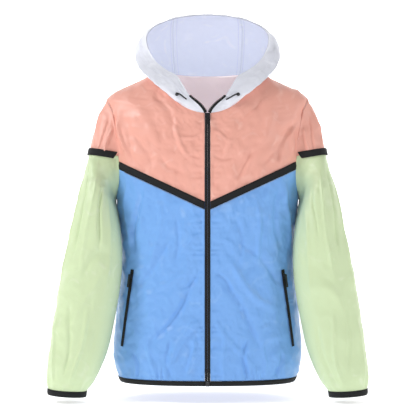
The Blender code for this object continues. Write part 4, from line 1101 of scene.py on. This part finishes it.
def make_zip_tops():
    """The zip's two open ends: tapes folded over the hood's front edges, each with its teeth."""
    rise = np.linspace(1, 0, 25)
    front = np.ones_like(rise)
    edge = hood_point(front, rise)
    out = hood_normal(front, np.maximum(rise, 0.2))
    inward = unit(np.cross(out, np.gradient(edge, axis=0)))
    width = np.linspace(*ZIP_TOP_WIDTH, len(rise))[:, None]
    across = np.linspace(0, 1, 5)[None, :, None]
    start_line = edge - inward * 0.0012
    end_line = edge + inward * width
    grid = start_line[:, None] + across * (end_line - start_line)[:, None]
    normals = np.repeat(out[:, None], 5, axis=1)
    grid = np.where(grid[..., :1] < ZIP_GAP, grid * (0, 1, 1) + np.array((ZIP_GAP, 0, 0)), grid)
    for side, mirror in (("right", False), ("left", True)):
        trim(f"zip_top_{side}", grid, normals, mirror, 0.0016)
        flip = np.array((-1, 1, 1)) if mirror else np.array((1, 1, 1))
        line = grid[:, -1] + normals[:, -1] * 0.0018
        places, along, turned = evenly(line * flip, normals[:, -1] * flip, TOOTH_PITCH)
        blocks(f"zip_top_teeth_{side}", places, along, turned, TOOTH, TEETH)


# ---------------------------------------------------------------- drawcord ends
def make_cord_end(side, rows, mirror):
    route = np.array([tuple(point) for point in cord_route(rows, mirror)])
    knots = np.arange(len(route))
    steps = np.linspace(0, len(route) - 1, 6 * len(route))
    points = np.stack([smooth(knots, route[:, k], steps) for k in range(3)], axis=1)
    curve = bpy.data.curves.new(f"drawcord_{side}", "CURVE")
    curve.dimensions = "3D"
    curve.bevel_depth = CORD_DIAMETER / 2
    curve.bevel_resolution = 3
    curve.use_fill_caps = True
    spline = curve.splines.new("POLY")
    spline.points.add(len(points) - 1)
    for place, point in zip(spline.points, points):
        place.co = (*point, 1.0)
    piece = bpy.data.objects.new(f"drawcord_{side}", curve)
    bpy.context.collection.objects.link(piece)
    curve.materials.append(BLACK)
    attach(piece, "jacket")
    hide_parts(f"cord_{side}")


# ---------------------------------------------------------------- camera, floor and lights
def make_stage():
    camera = bpy.data.objects.new("camera", bpy.data.cameras.new("camera"))
    bpy.context.collection.objects.link(camera)
    camera.data.sensor_width = 36.0
    camera.data.lens = 120.6
    camera.location = (0.001, -3.10, -0.2935)
    camera.rotation_euler = (math.radians(90), 0, 0)
    bpy.context.scene.camera = camera
    low = cad_box[0][2] - 0.012
    for name, corners, glow in (
            ("floor", [(-9, -9, low), (9, -9, low), (9, 4, low), (-9, 4, low)], 0.62),
            ("backdrop", [(-9, 4, low), (9, 4, low), (9, 4, 9), (-9, 4, 9)], 0.90)):
        ground = bpy.data.objects.new(name, bpy.data.meshes.new(name))
        bpy.context.collection.objects.link(ground)
        ground.data.from_pydata(corners, [], [(0, 1, 2, 3)])
        paint, tree, shader = start(f"pale {name}", Roughness=0.95, Emission_Strength=glow)
        shader.inputs["Base Color"].default_value = linear("#F4F4F4")
        shader.inputs["Emission Color"].default_value = (1.0, 1.0, 1.0, 1.0)
        shader.inputs["Specular IOR Level"].default_value = 0.0
        ground.data.materials.append(paint)
    world = bpy.data.worlds.new("studio")
    world.use_nodes = True
    world.node_tree.nodes["Background"].inputs["Color"].default_value = (1, 1, 1, 1)
    world.node_tree.nodes["Background"].inputs["Strength"].default_value = 0.24
    bpy.context.scene.world = world
    for name, place, size, power in (("key", (-2.2, -1.0, 1.4), 0.55, 42.0),
                                     ("fill", (2.4, -1.0, 0.9), 0.6, 17.0),
                                     ("front", (0.2, -3.3, 0.3), 0.9, 12.0)):
        lamp = bpy.data.lights.new(name, "AREA")
        lamp.size = size
        lamp.energy = power
        made = bpy.data.objects.new(name, lamp)
        bpy.context.collection.objects.link(made)
        made.location = place
        aim = Vector((0, 0, -0.3)) - made.location
        made.rotation_euler = aim.to_track_quat("-Z", "Y").to_euler()
    bpy.context.scene.view_settings.view_transform = "Standard"


TEETH = black_enamel("black moulded zip teeth")


def finish_hardware():
    """The zips' cloth and metal keep their CAD shape and take the finer materials."""
    for name, made in frame["nodes"].items():
        paint = ENAMEL
        if name.startswith(("zip_tape", "zip_top", "pocket_zip")):
            paint = BLACK
        if name.startswith(("zip", "pocket", "eyelet")):
            made.data.materials.clear()
            made.data.materials.append(paint)


make_stage()
for cord_side, cord_mirror, cord_rows in (("right", False, CORD_RIGHT), ("left", True, CORD_LEFT)):
    make_cord_end(cord_side, cord_rows, cord_mirror)
make_body()
make_sleeve_cloth("right", False, 0.4)
make_sleeve_cloth("left", True, 2.6)
make_hood_cloth()
make_zip_tops()
make_teeth()
make_stitches()
finish_hardware()
